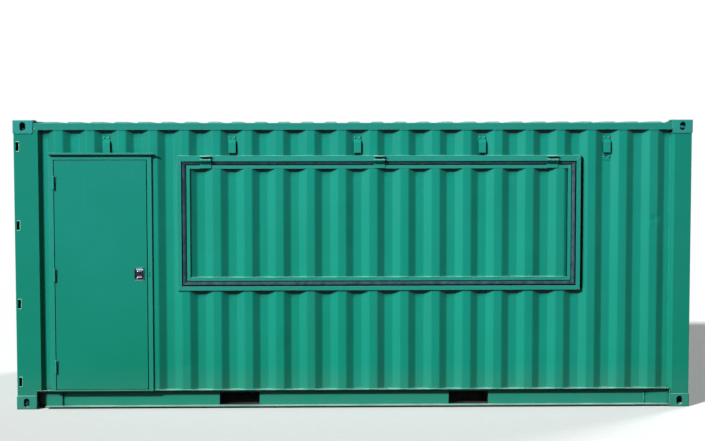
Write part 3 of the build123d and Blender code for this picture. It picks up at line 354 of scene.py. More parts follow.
def bitumen_undercoat(name):
    """Thick black bitumen sprayed under the floor: lumps of about 12 mm, road dust in the hollows."""
    made, node, place = new_material(name)
    lumps = node("TexNoise", {"Vector": place, "Scale": 1 / (12 * MM), "Detail": 5.0, "Roughness": 0.6})
    road = node("TexNoise", {"Vector": place, "Scale": 3.0, "Detail": 5.0, "Roughness": 0.6})
    dust = node("MapRange", [road, 0.4, 0.75, 0.0, 0.6])
    colour = node("MixRGB", [dust, linear("#17191a"), linear("#5a564b")])
    bump = node("Bump", {"Height": lumps, "Strength": 0.5, "Distance": 2 * MM})
    shader = node("BsdfPrincipled", {"Base Color": colour, "Roughness": 0.6, "IOR": 1.5, "Normal": bump})
    node("OutputMaterial", [shader])
    return made


plywood = phenolic_plywood("phenolic_faced_plywood", 2.4, 1.16)
undercoat = bitumen_undercoat("bitumen_undercoat_on_steel")
print("floor:", plywood.name, undercoat.name)

# %% [markdown]
# ## Finish the carried-over solids
#
# Each CAD node keeps its mesh and place, and only its material slot is filled. The list goes by what the
# maker did with the piece: pressed sheet, welded rails, castings, new frames, rubber, plate and floor.

# %% Give every node its finish

finishes = {
    roof_enamel: "roof roof_end_plates",
    wall_enamel: "end_wall back_wall front_wall_ends front_wall_between front_wall_over_openings "
                 "front_wall_under_hatch hatch_panel cargo_door_panels",
    cover_enamel: "wall_vents",
    post_enamel: "cargo_end_posts blind_end_posts",
    rail_enamel: "top_side_rails bottom_side_rails cargo_header_and_sill blind_end_rails roof_corner_plates "
                 "cargo_door_frames cargo_door_hinges lock_bars lock_bar_brackets lock_keepers lock_handles",
    casting_enamel: "corner_castings",
    frame_enamel: "door_jambs door_head frame_stops door_threshold door_drip_rail hinge_frame_halves "
                  "door_stiffeners door_hinge_leaf_halves hatch_frame_rails hatch_frame_stiles "
                  "hatch_leaf_frame hatch_hinge_leaf_halves",
    leaf_enamel: "door_leaf",
    rubber: "hatch_seal cargo_door_seals",
    chrome: "door_latch_dish door_latch_paddle",
    plywood: "floor",
    undercoat: "cross_members fork_tunnels",
}
for material, names in finishes.items():
    for name in names.split():
        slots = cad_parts[name].data.materials
        slots.clear()
        slots.append(material)
finished = {name for names in finishes.values() for name in names.split()}
print("nodes without a finish:", sorted(set(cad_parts) - finished))

# %% [markdown]
# ## Surfaces as arrays
#
# Every new piece is a grid of points worked out at once with numpy. A sheet is a function of two
# parameters. A seal or a weld bead is a profile carried along a path. A screw head is a profile turned
# about an axis. The helpers below join neighbouring points into quads, turn closed shells so that they
# face outwards, and put the arrays into one mesh.

# %% Grids and shells


def grid_faces(rows, columns, ring=False, loop=False):
    """Quads (i, j), (i, j + 1), (i + 1, j + 1), (i + 1, j). ring joins the last column to the first,
    and loop joins the last row to the first."""
    i, j = np.meshgrid(np.arange(rows if loop else rows - 1), np.arange(columns if ring else columns - 1),
                       indexing="ij")
    down, right = (i + 1) % rows, (j + 1) % columns
    quads = [i * columns + j, i * columns + right, down * columns + right, down * columns + j]
    return np.stack(quads, axis=-1).reshape(-1, 4)


def outward(points, faces):
    """A closed shell's faces, turned over if its volume, a sum of a . (b x c) / 6, comes out negative."""
    a, b, c, d = (points[faces[:, k]] - points.mean(axis=0) for k in range(4))
    volume = (a * np.cross(b, c)).sum() + (a * np.cross(c, d)).sum()
    return faces if volume > 0 else faces[:, ::-1]


def shell(grid, loop=False, along=None):
    """A grid of rings (rows, columns, 3) as flat points, outward faces and, for its pattern, each point's
    place along the path."""
    rows, columns = grid.shape[:2]
    points = grid.reshape(-1, 3)
    faces = outward(points, grid_faces(rows, columns, True, loop))
    run = np.zeros(rows) if along is None else along
    uv = np.stack(np.broadcast_arrays(run[:, None], np.linspace(0, 1, columns)[None, :]), axis=-1).reshape(-1, 2)
    return points, faces, uv


print("a grid of 4 by 3 points has", len(grid_faces(4, 3)), "quads")

# %% [markdown]
# One function makes an object of any number of such parts. It merges the points that meet, which closes
# seams and poles, shades folds sharper than a given angle as creases, and gives a sheet its thickness
# inwards. Then it hangs the piece on the empty of the body it rides on, and hides the CAD nodes it
# stands for.

# %% Pieces


def new_object(name, data):
    """An object with the given mesh, lamp or camera, linked to the scene."""
    made = bpy.data.objects.new(name, data)
    bpy.context.scene.collection.objects.link(made)
    return made


def build_piece(name, parts, material, body, replaces=(), sharp=40.0, thickness=0.0):
    """One object from a list of parts, each of points, faces and uv."""
    starts = np.cumsum([0] + [len(part[0]) for part in parts])
    points = np.concatenate([part[0] for part in parts])
    faces = np.concatenate([part[1] + start for part, start in zip(parts, starts)])
    uv = np.concatenate([part[2] for part in parts])
    mesh = bpy.data.meshes.new(name)
    mesh.from_pydata(points, [], faces)
    layer = mesh.uv_layers.new(name="along")
    layer.data.foreach_set("uv", uv[faces.reshape(-1)].reshape(-1).astype(np.float32))
    work = bmesh.new()
    work.from_mesh(mesh)
    bmesh.ops.remove_doubles(work, verts=work.verts, dist=0.02 * MM)
    bmesh.ops.dissolve_degenerate(work, edges=work.edges, dist=0.005 * MM)
    work.to_mesh(mesh)
    work.free()
    mesh.polygons.foreach_set("use_smooth", np.ones(len(mesh.polygons), bool))
    mesh.set_sharp_from_angle(angle=math.radians(sharp))
    mesh.materials.append(material)
    made = new_object(name, mesh)
    if thickness:
        wall = made.modifiers.new("wall", "SOLIDIFY")
        wall.thickness, wall.offset = thickness, -1.0
    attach(made, body)
    if replaces:
        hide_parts(*replaces)
    print(f"{name}: {len(mesh.polygons)} faces on {body}")


# %% [markdown]
# ## Pressed sheet
#
# The walls are 2 mm steel pressed into a trapezoid wave 36 mm deep. The CAD sheets have knife-sharp folds,
# which no press makes. Here the same wave is averaged over the width of a fold, so every bend is round.
# Each wave has an outer flat, a slope, an inner flat and a slope back, and starts at the end of an outer
# flat. Sizes are in mm, from the container's middle line, which lies 18.5 mm behind the row's.

# %% The wave

Y_SHIFT = 18.5
SHEET = 2.0 * MM
FOLD = 13.0
SIDE_WAVE = {"start": -2588.0, "outer": 73.4, "slope": 66.0, "inner": 74.0, "depth": 36.0}
END_WAVE = {"start": -1048.0, "outer": 110.0, "slope": 18.0, "inner": 104.0, "depth": 45.6}
DOOR_WAVE = {"start": -976.0, "outer": 95.0, "slope": 68.0, "inner": 72.0, "depth": 36.0}


def row_metres(x, y, z):
    """Places measured in mm from the container's middle line as points in metres in the row's frame."""
    return np.stack(np.broadcast_arrays(x, np.asarray(y) + Y_SHIFT, z), axis=-1).astype(float) * MM


def wave_corners(wave):
    """The places of a wave's four folds, counted from its start, and its pitch."""
    slope, inner = wave["slope"], wave["inner"]
    return np.array([0.0, slope, slope + inner, 2 * slope + inner]), wave["outer"] + inner + 2 * slope


def wave_depth(along, wave):
    """Depth of the pressed wave at each place: 0 on outer flats, depth on inner ones, averaged over a fold."""
    corners, pitch = wave_corners(wave)
    window = np.linspace(-FOLD / 2, FOLD / 2, 9)
    places = np.asarray(along, float)[..., None] + window - wave["start"]
    return np.interp(places, corners, [0.0, wave["depth"], wave["depth"], 0.0], period=pitch).mean(axis=-1)


print("side wave pitch:", wave_corners(SIDE_WAVE)[1], "mm")

# %% [markdown]
# A mesh needs points only where a sheet bends. They stand close together across each fold, round each dent
# and beside each cut edge, and far apart on the flats. A dent is given as place, level, radius and depth.

# %% Where points are needed


def dent_stations(centre, radius):
    """Places half a radius apart across a dent."""
    return np.arange(centre - 2.5 * radius, centre + 2.5 * radius, radius / 2)


def clear_of_edges(places, low, high, edges):
    """Places between two ends, at least 4 mm from every edge, plus each edge and a place 2.5 mm from it. The
    close pair keeps the shading of a cut edge from spreading over the sheet."""
    edges = np.array([low, high, *edges])
    inside = places[(places > low) & (places < high) & (np.abs(places[:, None] - edges).min(axis=1) > 4.0)]
    beside = (edges[:, None] + np.array([-2.5, 0.0, 2.5])).reshape(-1)
    beside = beside[(beside >= low) & (beside <= high)]
    return np.unique(np.round(np.concatenate([inside, beside]), 1))


def wave_stations(low, high, wave, dents, edges):
    """Places along the wave that need points: the ends and edges, seven across each fold, flats and dents."""
    corners, pitch = wave_corners(wave)
    count = np.arange(np.floor((low - wave["start"]) / pitch) - 1, np.ceil((high - wave["start"]) / pitch) + 1)
    folds = wave["start"] + count[:, None, None] * pitch + corners[None, :, None]
    across = folds + np.array([-0.55, -0.34, -0.16, 0.0, 0.16, 0.34, 0.55]) * FOLD
    middles = folds[:, :, 0] + np.array([wave["slope"], wave["inner"], wave["slope"], wave["outer"]]) / 2
    near = [dent_stations(x, radius) for x, z, radius, deep in dents]
    return clear_of_edges(np.concatenate([across.reshape(-1), middles.reshape(-1), *near]), low, high, edges)


def level_stations(low, high, dents, edges):
    """Levels every 110 mm or so, and closer beside a dent."""
    even = np.linspace(low, high, max(2, int((high - low) / 110.0) + 1))
    near = [dent_stations(z, radius) for x, z, radius, deep in dents]
    return clear_of_edges(np.concatenate([even, *near]), low, high, edges)


print("points along the side wall:", len(wave_stations(-2772.0, 2834.0, SIDE_WAVE, (), ())))

# %% [markdown]
# Welding and years of loading leave the flats a little uneven, and a fork or a crate leaves a dent here
# and there, so a slow wave and a few round hollows are added to the depth. Openings are cut by leaving out
# the quads inside.

# %% A sheet with its dents and openings


def unevenness(along, up, low, high, bottom, top, dents, openings):
    """How far the sheet lies behind its true plane, in mm: slow sines, faded out over the last 80 mm at every
    edge, plus deep * exp(-d^2 / 2 r^2) for each dent at distance d."""
    slow = np.sin(along / 209 + 0.7) * np.sin(up / 132 + 1.9)
    slow = slow + 0.6 * np.sin(along / 91 + 2.1 + 1.3 * np.sin(up / 270))
    edge = np.minimum(np.minimum(along - low, high - along), np.minimum(up - bottom, top - up))
    for left, right, foot, head in openings:
        beside = np.maximum(np.maximum(left - along, along - right), np.maximum(foot - up, up - head))
        edge = np.minimum(edge, beside)
    total = 0.9 * slow * np.clip(edge / 80.0, 0, 1)
    for x, z, radius, deep in dents:
        total = total + deep * np.exp(-((along - x) ** 2 + (up - z) ** 2) / (2 * radius ** 2))
    return total


def pressed_sheet(low, high, bottom, top, wave, place, dents=(), openings=()):
    """A sheet over a grid of places along the wave and levels; place(along, depth, up) gives its points. The
    quads whose middle lies in an opening are left out, and so are the points that only they used."""
    side_edges = [edge for opening in openings for edge in opening[:2]]
    level_edges = [edge for opening in openings for edge in opening[2:] if bottom < edge < top]
    along, up = np.meshgrid(wave_stations(low, high, wave, dents, side_edges),
                            level_stations(bottom, top, dents, level_edges))
    depth = wave_depth(along, wave) + unevenness(along, up, low, high, bottom, top, dents, openings)
    points = place(along, depth, up).reshape(-1, 3)
    uv = np.stack([along, up], axis=-1).reshape(-1, 2) * MM
    faces = grid_faces(*along.shape)
    middle = uv[faces].mean(axis=1) / MM
    kept = np.ones(len(faces), bool)
    for left, right, foot, head in openings:
        kept &= ~((middle[:, 0] > left) & (middle[:, 0] < right) & (middle[:, 1] > foot) & (middle[:, 1] < head))
    used, faces = np.unique(faces[kept], return_inverse=True)
    return points[used], faces.reshape(-1, 4), uv[used]


# %% [markdown]
# The front wall is one sheet from post to post with two holes sawn in it, for the door down to the floor
# and for the hatch. Leaving out the quads inside the holes gives just that, with no seam round the frames.
# The panel in the serving hatch is the piece that was sawn out, so it carries on the same wave.

# %% Front wall, hatch panel and back wall

WALL_FOOT, WALL_HEAD, WALL_LEFT, WALL_RIGHT = 170.0, 2502.0, -2772.0, 2834.0
WALL_FACE = 1211.0
DOOR_LEFT, DOOR_RIGHT, DOOR_HEAD = -2714.0, -1803.0, 2284.0
HATCH_LEFT, HATCH_RIGHT, HATCH_FOOT, HATCH_HEAD = -1578.0, 2027.0, 1067.0, 2272.0
PANEL_LEFT, PANEL_RIGHT, PANEL_FOOT, PANEL_HEAD = -1464.0, 1913.0, 1183.0, 2156.0


def front_place(along, depth, up):
    """On the wall with the door the sheet's outer flats stand 1211 mm in front of the middle line."""
    return row_metres(along, depth - WALL_FACE, up)


def back_place(along, depth, up):
    """The back wall is the same wave seen in a mirror; walking it from +X to -X keeps its faces outward."""
    return row_metres(along[:, ::-1], WALL_FACE - depth[:, ::-1], up[:, ::-1])


whole_wall = (WALL_LEFT, WALL_RIGHT, WALL_FOOT, WALL_HEAD, SIDE_WAVE)
holes = [(DOOR_LEFT, DOOR_RIGHT, WALL_FOOT - 1.0, DOOR_HEAD), (HATCH_LEFT, HATCH_RIGHT, HATCH_FOOT, HATCH_HEAD)]
front_dents = [(2704.0, 1706.0, 26.0, 8.0), (2668.0, 1660.0, 18.0, -4.0), (2210.0, 640.0, 60.0, 3.0),
               (-1510.0, 392.0, 30.0, 3.0), (-620.0, 560.0, 70.0, 3.5), (1260.0, 300.0, 45.0, 3.0)]
panel_dents = [(598.0, 1972.0, 16.0, 1.6), (-905.0, 1540.0, 55.0, 2.0)]
back_dents = [(-1750.0, 900.0, 80.0, 5.0), (420.0, 1350.0, 50.0, 4.0), (1900.0, 640.0, 95.0, 6.0)]

front = pressed_sheet(*whole_wall, front_place, front_dents, holes)
front_nodes = ["front_wall_ends", "front_wall_between", "front_wall_over_openings", "front_wall_under_hatch"]
build_piece("pressed_front_wall", [front], wall_enamel, "cabin", front_nodes, thickness=SHEET)
panel = pressed_sheet(PANEL_LEFT, PANEL_RIGHT, PANEL_FOOT, PANEL_HEAD, SIDE_WAVE, front_place, panel_dents)
build_piece("pressed_hatch_panel", [panel], wall_enamel, "serving_hatch", ["hatch_panel"], thickness=SHEET)
rear = pressed_sheet(*whole_wall, back_place, back_dents)
build_piece("pressed_back_wall", [rear], wall_enamel, "cabin", ["back_wall"], thickness=SHEET)

# %% [markdown]
# The blind end has a deeper, squarer wave, and each cargo door carries a panel pressed with a softer one.
# The same function makes both; only the place of the sheet changes.

# %% End wall and cargo door panels

END_FACE, END_HALF = 3015.0, 1030.0
CARGO_FACE, CARGO_PANEL = -2979.0, (-1071.0, -74.0, 298.0, 2345.0)


def end_place(along, depth, up):
    """On the blind end the wave runs along Y, and its outer flats face +X."""
    return row_metres(END_FACE - depth, along, up)


def near_door_place(along, depth, up):
    """On the cargo doors the outer flats face -X, a little behind the face of the frame."""
    return row_metres(CARGO_FACE + depth, along, up)[:, ::-1]


def far_door_place(along, depth, up):
    """The second cargo door mirrors the first across the container's middle."""
    return row_metres(CARGO_FACE + depth, -along, up)


end_dents = [(-380.0, 1100.0, 60.0, 5.0), (520.0, 700.0, 45.0, 4.0)]
end_sheet = pressed_sheet(-END_HALF, END_HALF, WALL_FOOT, WALL_HEAD, END_WAVE, end_place, end_dents)
build_piece("pressed_end_wall", [end_sheet], wall_enamel, "cabin", ["end_wall"], thickness=SHEET)
door_panels = [pressed_sheet(*CARGO_PANEL, DOOR_WAVE, place) for place in (near_door_place, far_door_place)]
build_piece("pressed_cargo_panels", door_panels, wall_enamel, "cabin", ["cargo_door_panels"], thickness=SHEET)

# %% [markdown]
# ## Roof
#
# The roof is one sheet with 27 shallow ribs pressed across it. Each rib is a plateau 12 mm high with sloping
# flanks that also slope at its ends. Its height is the product of a ramp across and a ramp along, and the
# same averaging as on the walls rounds both.

# %% The ribbed roof

RIB_PITCH, RIB_COUNT, RIB_HEIGHT, RIB_HALF, RIB_END = 209.0, 27, 12.0, 59.0, 1145.0
ROOF_TOP, ROOF_X, ROOF_Y = 2564.0, 2851.0, 1203.0


def ramp(distance, edge):
    """A ramp of 45 degrees from the edge inwards up to the height of a rib, averaged over a fold."""
    window = np.linspace(-7.0, 7.0, 7)
    return np.clip(edge - np.abs(distance[..., None] + window), 0, RIB_HEIGHT).mean(axis=-1)


def settled(distance, edge):
    """1 inside the sheet, falling to 0 over the last 200 mm before its edge."""
    return np.clip((edge - np.abs(distance)) / 200, 0, 1)


rib_centres = (np.arange(RIB_COUNT) - (RIB_COUNT - 1) / 2) * RIB_PITCH
rib_across = np.array([-67.0, -60, -56, -52, -47, -42, -36, 0, 36, 42, 47, 52, 56, 60, 67])
half_y = np.array([ROOF_Y, 1190, 1160, 1152, 1148, 1144, 1140, 1135, 1130, 1120, 960, 800, 640, 480, 320, 160])
rib_places = (rib_centres[:, None] + rib_across).reshape(-1)
roof_x, roof_y = np.meshgrid(np.unique(np.concatenate([[-ROOF_X, ROOF_X], rib_places])),
                             np.concatenate([-half_y, [0.0], half_y[::-1]]))
to_rib = np.abs((roof_x - rib_centres[0] + RIB_PITCH / 2) % RIB_PITCH - RIB_PITCH / 2)
rise = ramp(to_rib, RIB_HALF) * ramp(roof_y, RIB_END) / RIB_HEIGHT
slow = 1.6 * np.sin(roof_x / 310 + 0.4) * np.sin(roof_y / 240 + 1.0)
sag = np.abs(slow * settled(roof_y, ROOF_Y) * settled(roof_x, ROOF_X))
roof_points = row_metres(roof_x, roof_y, ROOF_TOP + rise - sag).reshape(-1, 3)
roof_uv = np.stack([roof_x, roof_y], axis=-1).reshape(-1, 2) * MM
roof_sheet = (roof_points, grid_faces(*roof_x.shape), roof_uv)
build_piece("pressed_roof", [roof_sheet], roof_enamel, "cabin", ["roof"], thickness=SHEET)

# %% [markdown]
# ## Weld beads
#
# The frames of the door and the hatch were set into the cut wall and welded all round. A fillet weld is a
# convex bead in the corner between two surfaces: its section is an arc from one surface to the other, and
# its size changes a little as the welder moves. Against the corrugated wall the bead follows the wave.
# Seen from afar the beads draw a thin light line along the top of each frame; their paler paint is a
# painted highlight.

# %% Fillet beads


def unit(vectors):
    """Vectors divided by their lengths."""
    vectors = np.asarray(vectors, float)
    return vectors / np.linalg.norm(vectors, axis=-1, keepdims=True)


def run_along(path):
    """How far each point of a path lies from its start, along the path."""
    return np.concatenate([[0.0], np.cumsum(np.linalg.norm(np.diff(path, axis=0), axis=1))])


def fillet(path, one_way, other_way, leg, phase=0.0):
    """A bead along a path (n, 3) in metres. Each section is an arc, root + leg (cos t one_way + sin t other_way)
    with t from 0 to 90 degrees, closed through the root. The leg swells and thins and runs out at both ends."""
    one_way, other_way = (unit(np.broadcast_to(way, path.shape)) for way in (one_way, other_way))
    run = run_along(path)
    swell = 1 + 0.10 * np.sin(run / 0.017 + phase) + 0.08 * np.sin(run / 0.0061 + 2 * phase)
    size = leg * MM * swell * np.sqrt(np.clip(np.minimum(run, run[-1] - run) / (leg * MM), 0, 1))
    t = np.radians(np.linspace(0, 90, 5))[None, :, None]
    arc = path[:, None] + size[:, None, None] * (np.cos(t) * one_way[:, None] + np.sin(t) * other_way[:, None])
    return shell(np.concatenate([path[:, None], arc], axis=1), along=run)


def straight(start, end, step=14.0):
    """Points every 14 mm or so between two places given in mm."""
    start, end = np.asarray(start, float), np.asarray(end, float)
    count = max(3, int(np.linalg.norm(end - start) / step) + 1)
    return row_metres(*(start + (end - start) * np.linspace(0, 1, count)[:, None]).T)


def wall_bead(low, high, level, up, side=-1, leg=6.0):
    """A bead between the corrugated wall and a level edge: up is 1 on top of the edge and -1 under it. It
    starts from the wall's outward direction at each point, which follows from the slope of the wave."""
    x = np.linspace(low, high, int((high - low) / 12.0) + 1)
    slope = (wave_depth(x + 1.0, SIDE_WAVE) - wave_depth(x - 1.0, SIDE_WAVE)) / 2.0
    out = unit(np.stack([slope, side * np.ones_like(x), np.zeros_like(x)], axis=-1))
    path = row_metres(x, side * (WALL_FACE - wave_depth(x, SIDE_WAVE)), level)
    return fillet(path, out, (0.0, 0.0, up), leg, phase=level)


def upright_bead(x, bottom, top, sideways, side=-1, leg=5.0):
    """A bead up the corner between the wall and the side of a frame that stands sideways of it."""
    y = side * (WALL_FACE - float(wave_depth(x + sideways * 3.0, SIDE_WAVE)))
    return fillet(straight((x, y, bottom), (x, y, top)), (sideways, 0.0, 0.0), (0.0, side, 0.0), leg, phase=x)


frame_beads = [
    wall_bead(DOOR_LEFT, DOOR_RIGHT, DOOR_HEAD, 1), wall_bead(HATCH_LEFT, HATCH_RIGHT, HATCH_HEAD, 1, leg=3.5),
    wall_bead(HATCH_LEFT, HATCH_RIGHT, HATCH_FOOT, -1),
    upright_bead(DOOR_LEFT, WALL_FOOT, DOOR_HEAD, -1), upright_bead(DOOR_RIGHT, WALL_FOOT, DOOR_HEAD, 1),
    upright_bead(HATCH_LEFT, HATCH_FOOT, HATCH_HEAD, -1), upright_bead(HATCH_RIGHT, HATCH_FOOT, HATCH_HEAD, 1),
]
build_piece("frame_weld_beads", frame_beads, weld_highlight_enamel, "cabin")

# %% [markdown]
# The panel is welded into the flap's frame in the same way. The bead on the foot of that frame looks up
# and catches the light, and its paler paint is a painted highlight, so it is the one that shows.

# %% Bead along the flap's foot

flap_foot = wall_bead(PANEL_LEFT, PANEL_RIGHT, PANEL_FOOT, 1)
build_piece("flap_weld_bead", [flap_foot], weld_highlight_enamel, "serving_hatch")

# %% [markdown]
# The walls' own welds were made in the container works: along the rails top and bottom and down the posts.

# %% Beads on rails and posts

INNER_FLAT = 1175.0
rail_beads = [wall_bead(WALL_LEFT, WALL_RIGHT, WALL_HEAD, -1), wall_bead(WALL_LEFT, DOOR_LEFT, WALL_FOOT, 1),
              wall_bead(DOOR_RIGHT, WALL_RIGHT, WALL_FOOT, 1),
              wall_bead(WALL_LEFT, WALL_RIGHT, WALL_HEAD, -1, side=1),
              wall_bead(WALL_LEFT, WALL_RIGHT, WALL_FOOT, 1, side=1)]
for side in (-1, 1):
    for x, into_wall, leg in ((WALL_LEFT, 1, 5.0), (WALL_RIGHT, -1, 2.0)):
        corner = straight((x, side * INNER_FLAT, WALL_FOOT + 4), (x, side * INNER_FLAT, WALL_HEAD - 4))
        rail_beads.append(fillet(corner, (into_wall, 0, 0), (-into_wall, side, 0), leg, phase=x))
build_piece("rail_weld_beads", rail_beads, weld_highlight_enamel, "cabin")

# %% [markdown]
# In the front and the back of the posts at the cargo end, four notches make room for the hinges of the
# cargo doors. Their sawn rims are rounded, and their pale paint is a painted highlight. A rim is a thin
# flattened rod whose spine goes along the foot, the inner side and the head of the notch.

# %% Rims of the hinge notches

NOTCH_LEVELS = (249.0, 951.0, 1653.0, 2355.0)
NOTCH_RIM = np.array([(-3004.0, -43.0), (-2975.0, -43.0), (-2973.0, -41.0), (-2973.0, 41.0), (-2975.0, 43.0),
                      (-3004.0, 43.0)])
CASTING_FACE, RIM_RADIUS = 1215.0, 4.4


def notch_rim(side, level):
    """A rod round the notch at a level: spine + radius (cos t across + 0.6 sin t out), thinner at its ends."""
    pace = run_along(NOTCH_RIM)
    run = np.linspace(0.0, pace[-1], 40)
    spine_x, spine_z = (np.interp(run, pace, NOTCH_RIM[:, k]) for k in (0, 1))
    ahead = unit(np.stack([np.gradient(spine_x), np.gradient(spine_z)], axis=-1))
    t = np.arange(10) * 2 * math.pi / 10
    radius = RIM_RADIUS * np.sqrt(np.clip(np.minimum(run, pace[-1] - run) / 4.0, 0.01, 1))[:, None]
    x = spine_x[:, None] + radius * np.cos(t) * ahead[:, 1:]
    z = level + spine_z[:, None] - radius * np.cos(t) * ahead[:, :1]
    return shell(row_metres(x, side * (CASTING_FACE + 0.6 * radius * np.sin(t)), z), along=run * MM)


notch_rims = [notch_rim(side, level) for side in (-1, 1) for level in NOTCH_LEVELS]
build_piece("hinge_notch_rims", notch_rims, rim_highlight_enamel, "cabin")

# %% [markdown]
# Around each corner casting the steel is thick and the bead is heavier. The plates at the ends of the
# bottom side rails are welded down their edges too.

# %% Beads on castings and end plates

CASTING_OUTER, CASTING_INNER, CASTING_HIGH, BOX_HIGH = 3020.0, 2851.0, 118.0, 2591.0
RAIL_FOOT, RAIL_HEAD, TOP_RAIL = 24.0, 163.0, (2508.0, 2560.0)
# x of a plate's edge, depth of the rail's web there, the side on which the bead lies, leg
PLATE_EDGES = ((-2629.0, 1155.0, 1, 7.0), (2632.0, 1155.0, -1, 8.0), (-2777.0, 1169.0, 1, 5.0))
casting_beads = []
for side in (-1, 1):
    y = side * CASTING_FACE
    for end in (-1, 1):
        # beside the bottom casting (up is 1) and beside the top one (up is -1)
        for edge, up, low, high in ((CASTING_HIGH, 1, RAIL_HEAD + 1.0, RAIL_FOOT),
                                    (BOX_HIGH - CASTING_HIGH, -1, *TOP_RAIL)):
            across = straight((end * CASTING_OUTER, y, edge), (end * CASTING_INNER, y, edge))
            leg = 3.0 if end > 0 and up > 0 else 6.5
            casting_beads.append(fillet(across, (0, side, 0), (0, 0, up), leg, phase=edge))
            down = straight((end * CASTING_INNER, y, low), (end * CASTING_INNER, y, high))
            casting_beads.append(fillet(down, (0, side, 0), (-end, 0, 0), 5.0, phase=end))
    for x, web, way, leg in PLATE_EDGES:
        plate_edge = straight((x, side * web, RAIL_FOOT), (x, side * web, RAIL_HEAD))
        casting_beads.append(fillet(plate_edge, (0, side, 0), (way, 0, 0), leg))
build_piece("casting_weld_beads", casting_beads, weld_highlight_enamel, "cabin")

# %% [markdown]
# ## Rubber seals
#
# The hatch closes on a broad rubber strip, cut to a mitre at the four corners. Its profile is a flattened
# arch with a groove, carried round a rectangle. It slopes down towards the flap, so its high outer lip
# shades one side and catches the light on the other. The strip is narrower at the top, where the hinges
# leave less room. The cargo doors have a smaller gasket with an even arch.

# %% Carry an arch round a rectangle


def mitred_path(low_u, high_u, low_v, high_v, step):
    """Points round a rectangle and the directions in which a profile spreads: square to each run, and along
    both at once at a corner, which mitres it. Points 3 mm from a corner keep the mitre crisp."""
    corners = np.array([(high_u, high_v), (low_u, high_v), (low_u, low_v), (high_u, low_v)])
    spread = np.array([(1.0, 1.0), (-1.0, 1.0), (-1.0, -1.0), (1.0, -1.0)])
    points, ways = [], []
    for k in range(4):
        run = corners[(k + 1) % 4] - corners[k]
        length = np.abs(run).sum()
        inside = np.linspace(0, length, int(length / step) + 2)[1:-1]
        share = np.concatenate([[3.0], inside, [length - 3.0]]) / length
        square = (spread[k] + spread[(k + 1) % 4]) / 2
        points += [corners[k:k + 1], corners[k] + run * share[:, None]]
        ways += [spread[k:k + 1], np.repeat(square[None], len(share), axis=0)]
    return np.concatenate(points), np.concatenate(ways)


def arch_profile(groove, power, inner=1.0):
    """Across from -1 (inner edge) to 1 (outer edge) and height from 0 to 1 of a flattened arch, (1 - a^2)^power,
    that slopes down to the share called inner at its inner edge, with a groove pressed in at one place, then a
    flat back."""
    a = -np.cos(np.linspace(0, math.pi, 25))
    slope = inner + (1 - inner) * np.clip((1 + a) / 1.72, 0, 1)
    b = np.clip(1 - a ** 2, 0, 1) ** power * slope - 0.10 * np.exp(-(((a - groove) / 0.09) ** 2))
    return np.concatenate([a, [0.6, 0.0, -0.6]]), np.concatenate([b, [-0.06, -0.06, -0.06]])


STRIP_HALF, STRIP_HIGH, STRIP_BACK, LESS_AT_TOP = 19.6, 27.0, -1194.0, 5.0
STRIP_MIDDLE = (-1514.0, 1963.0, 1133.0, 2201.0)
path, way = mitred_path(*STRIP_MIDDLE, step=90.0)
a, b = arch_profile(groove=0.42, power=0.22, inner=0.42)
half_width = np.stack([np.full(len(way), STRIP_HALF), STRIP_HALF - LESS_AT_TOP * np.clip(way[:, 1], 0, 1)], axis=-1)
spots = path[:, None, :] + (way * half_width)[:, None, :] * a[None, :, None]
high = STRIP_HIGH + 0.4 * np.sin(path.sum(axis=1) / 53)
strip = row_metres(spots[..., 0], STRIP_BACK - high[:, None] * b[None, :], spots[..., 1])
build_piece("hatch_rubber_strip", [shell(strip, loop=True)], rubber, "serving_hatch", ["hatch_seal"])

GASKET_HALF, GASKET_HIGH, GASKET_BACK, GASKET_LEVELS = 4.8, 23.5, -2955.0, (183.0, 2460.0)
gaskets = []
for sides in ((-1136.0, -9.0), (9.0, 1136.0)):
    path, way = mitred_path(*sides, *GASKET_LEVELS, step=120.0)
    a, b = arch_profile(groove=0.1, power=0.35)
    spots = path[:, None, :] + GASKET_HALF * way[:, None, :] * a[None, :, None]
    arch = row_metres(GASKET_BACK - GASKET_HIGH * b[None, :], spots[..., 0], spots[..., 1])
    gaskets.append(shell(arch, loop=True))
build_piece("cargo_door_gaskets", gaskets, rubber, "cabin", ["cargo_door_seals"])

# %% [markdown]
# ## Screws and bolts
#
# Vent covers are held by pan-head screws on washers. Each is a profile turned about its own axis. All
# copies of one kind are computed in one go, as centres plus the turned profile. In front the lower screws
# of most vents are hidden, so only the last vent there has them.

# %% Turned fixings


def turned(centres, axis, profile, steps, turn=0.0):
    """Copies of a turned shape: centre + radius (cos p side + sin p other) + height axis, for each (radius,
    height) in mm of the profile. The first and last radius are 0, which closes the shape."""
    axis = unit(axis)
    side = unit(np.cross(axis, (0.0, 0.0, 1.0) if abs(axis[2]) < 0.9 else (1.0, 0.0, 0.0)))
    other = np.cross(axis, side)
    p = turn + np.arange(steps) * 2 * math.pi / steps
    spokes = np.cos(p)[:, None] * side + np.sin(p)[:, None] * other
    radius, rise = np.array(profile, float).T * MM
    one = radius[:, None, None] * spokes[None] + rise[:, None, None] * axis
    return [shell(centre + one) for centre in np.asarray(centres, float)]


SCREW_ASIDE, SCREW_SEAT, SCREW_LEVELS = 21.0, 1178.0, (2431.0, 2258.0)
PAN_HEAD = [(0, 7.0), (2.0, 6.8), (4.4, 5.9), (6.4, 4.0), (7.2, 1.8), (7.2, 0.2), (0, 0.2)]
WASHER = [(0, 1.8), (9.6, 1.8), (10.6, 1.1), (10.6, -0.2), (0, -0.2)]

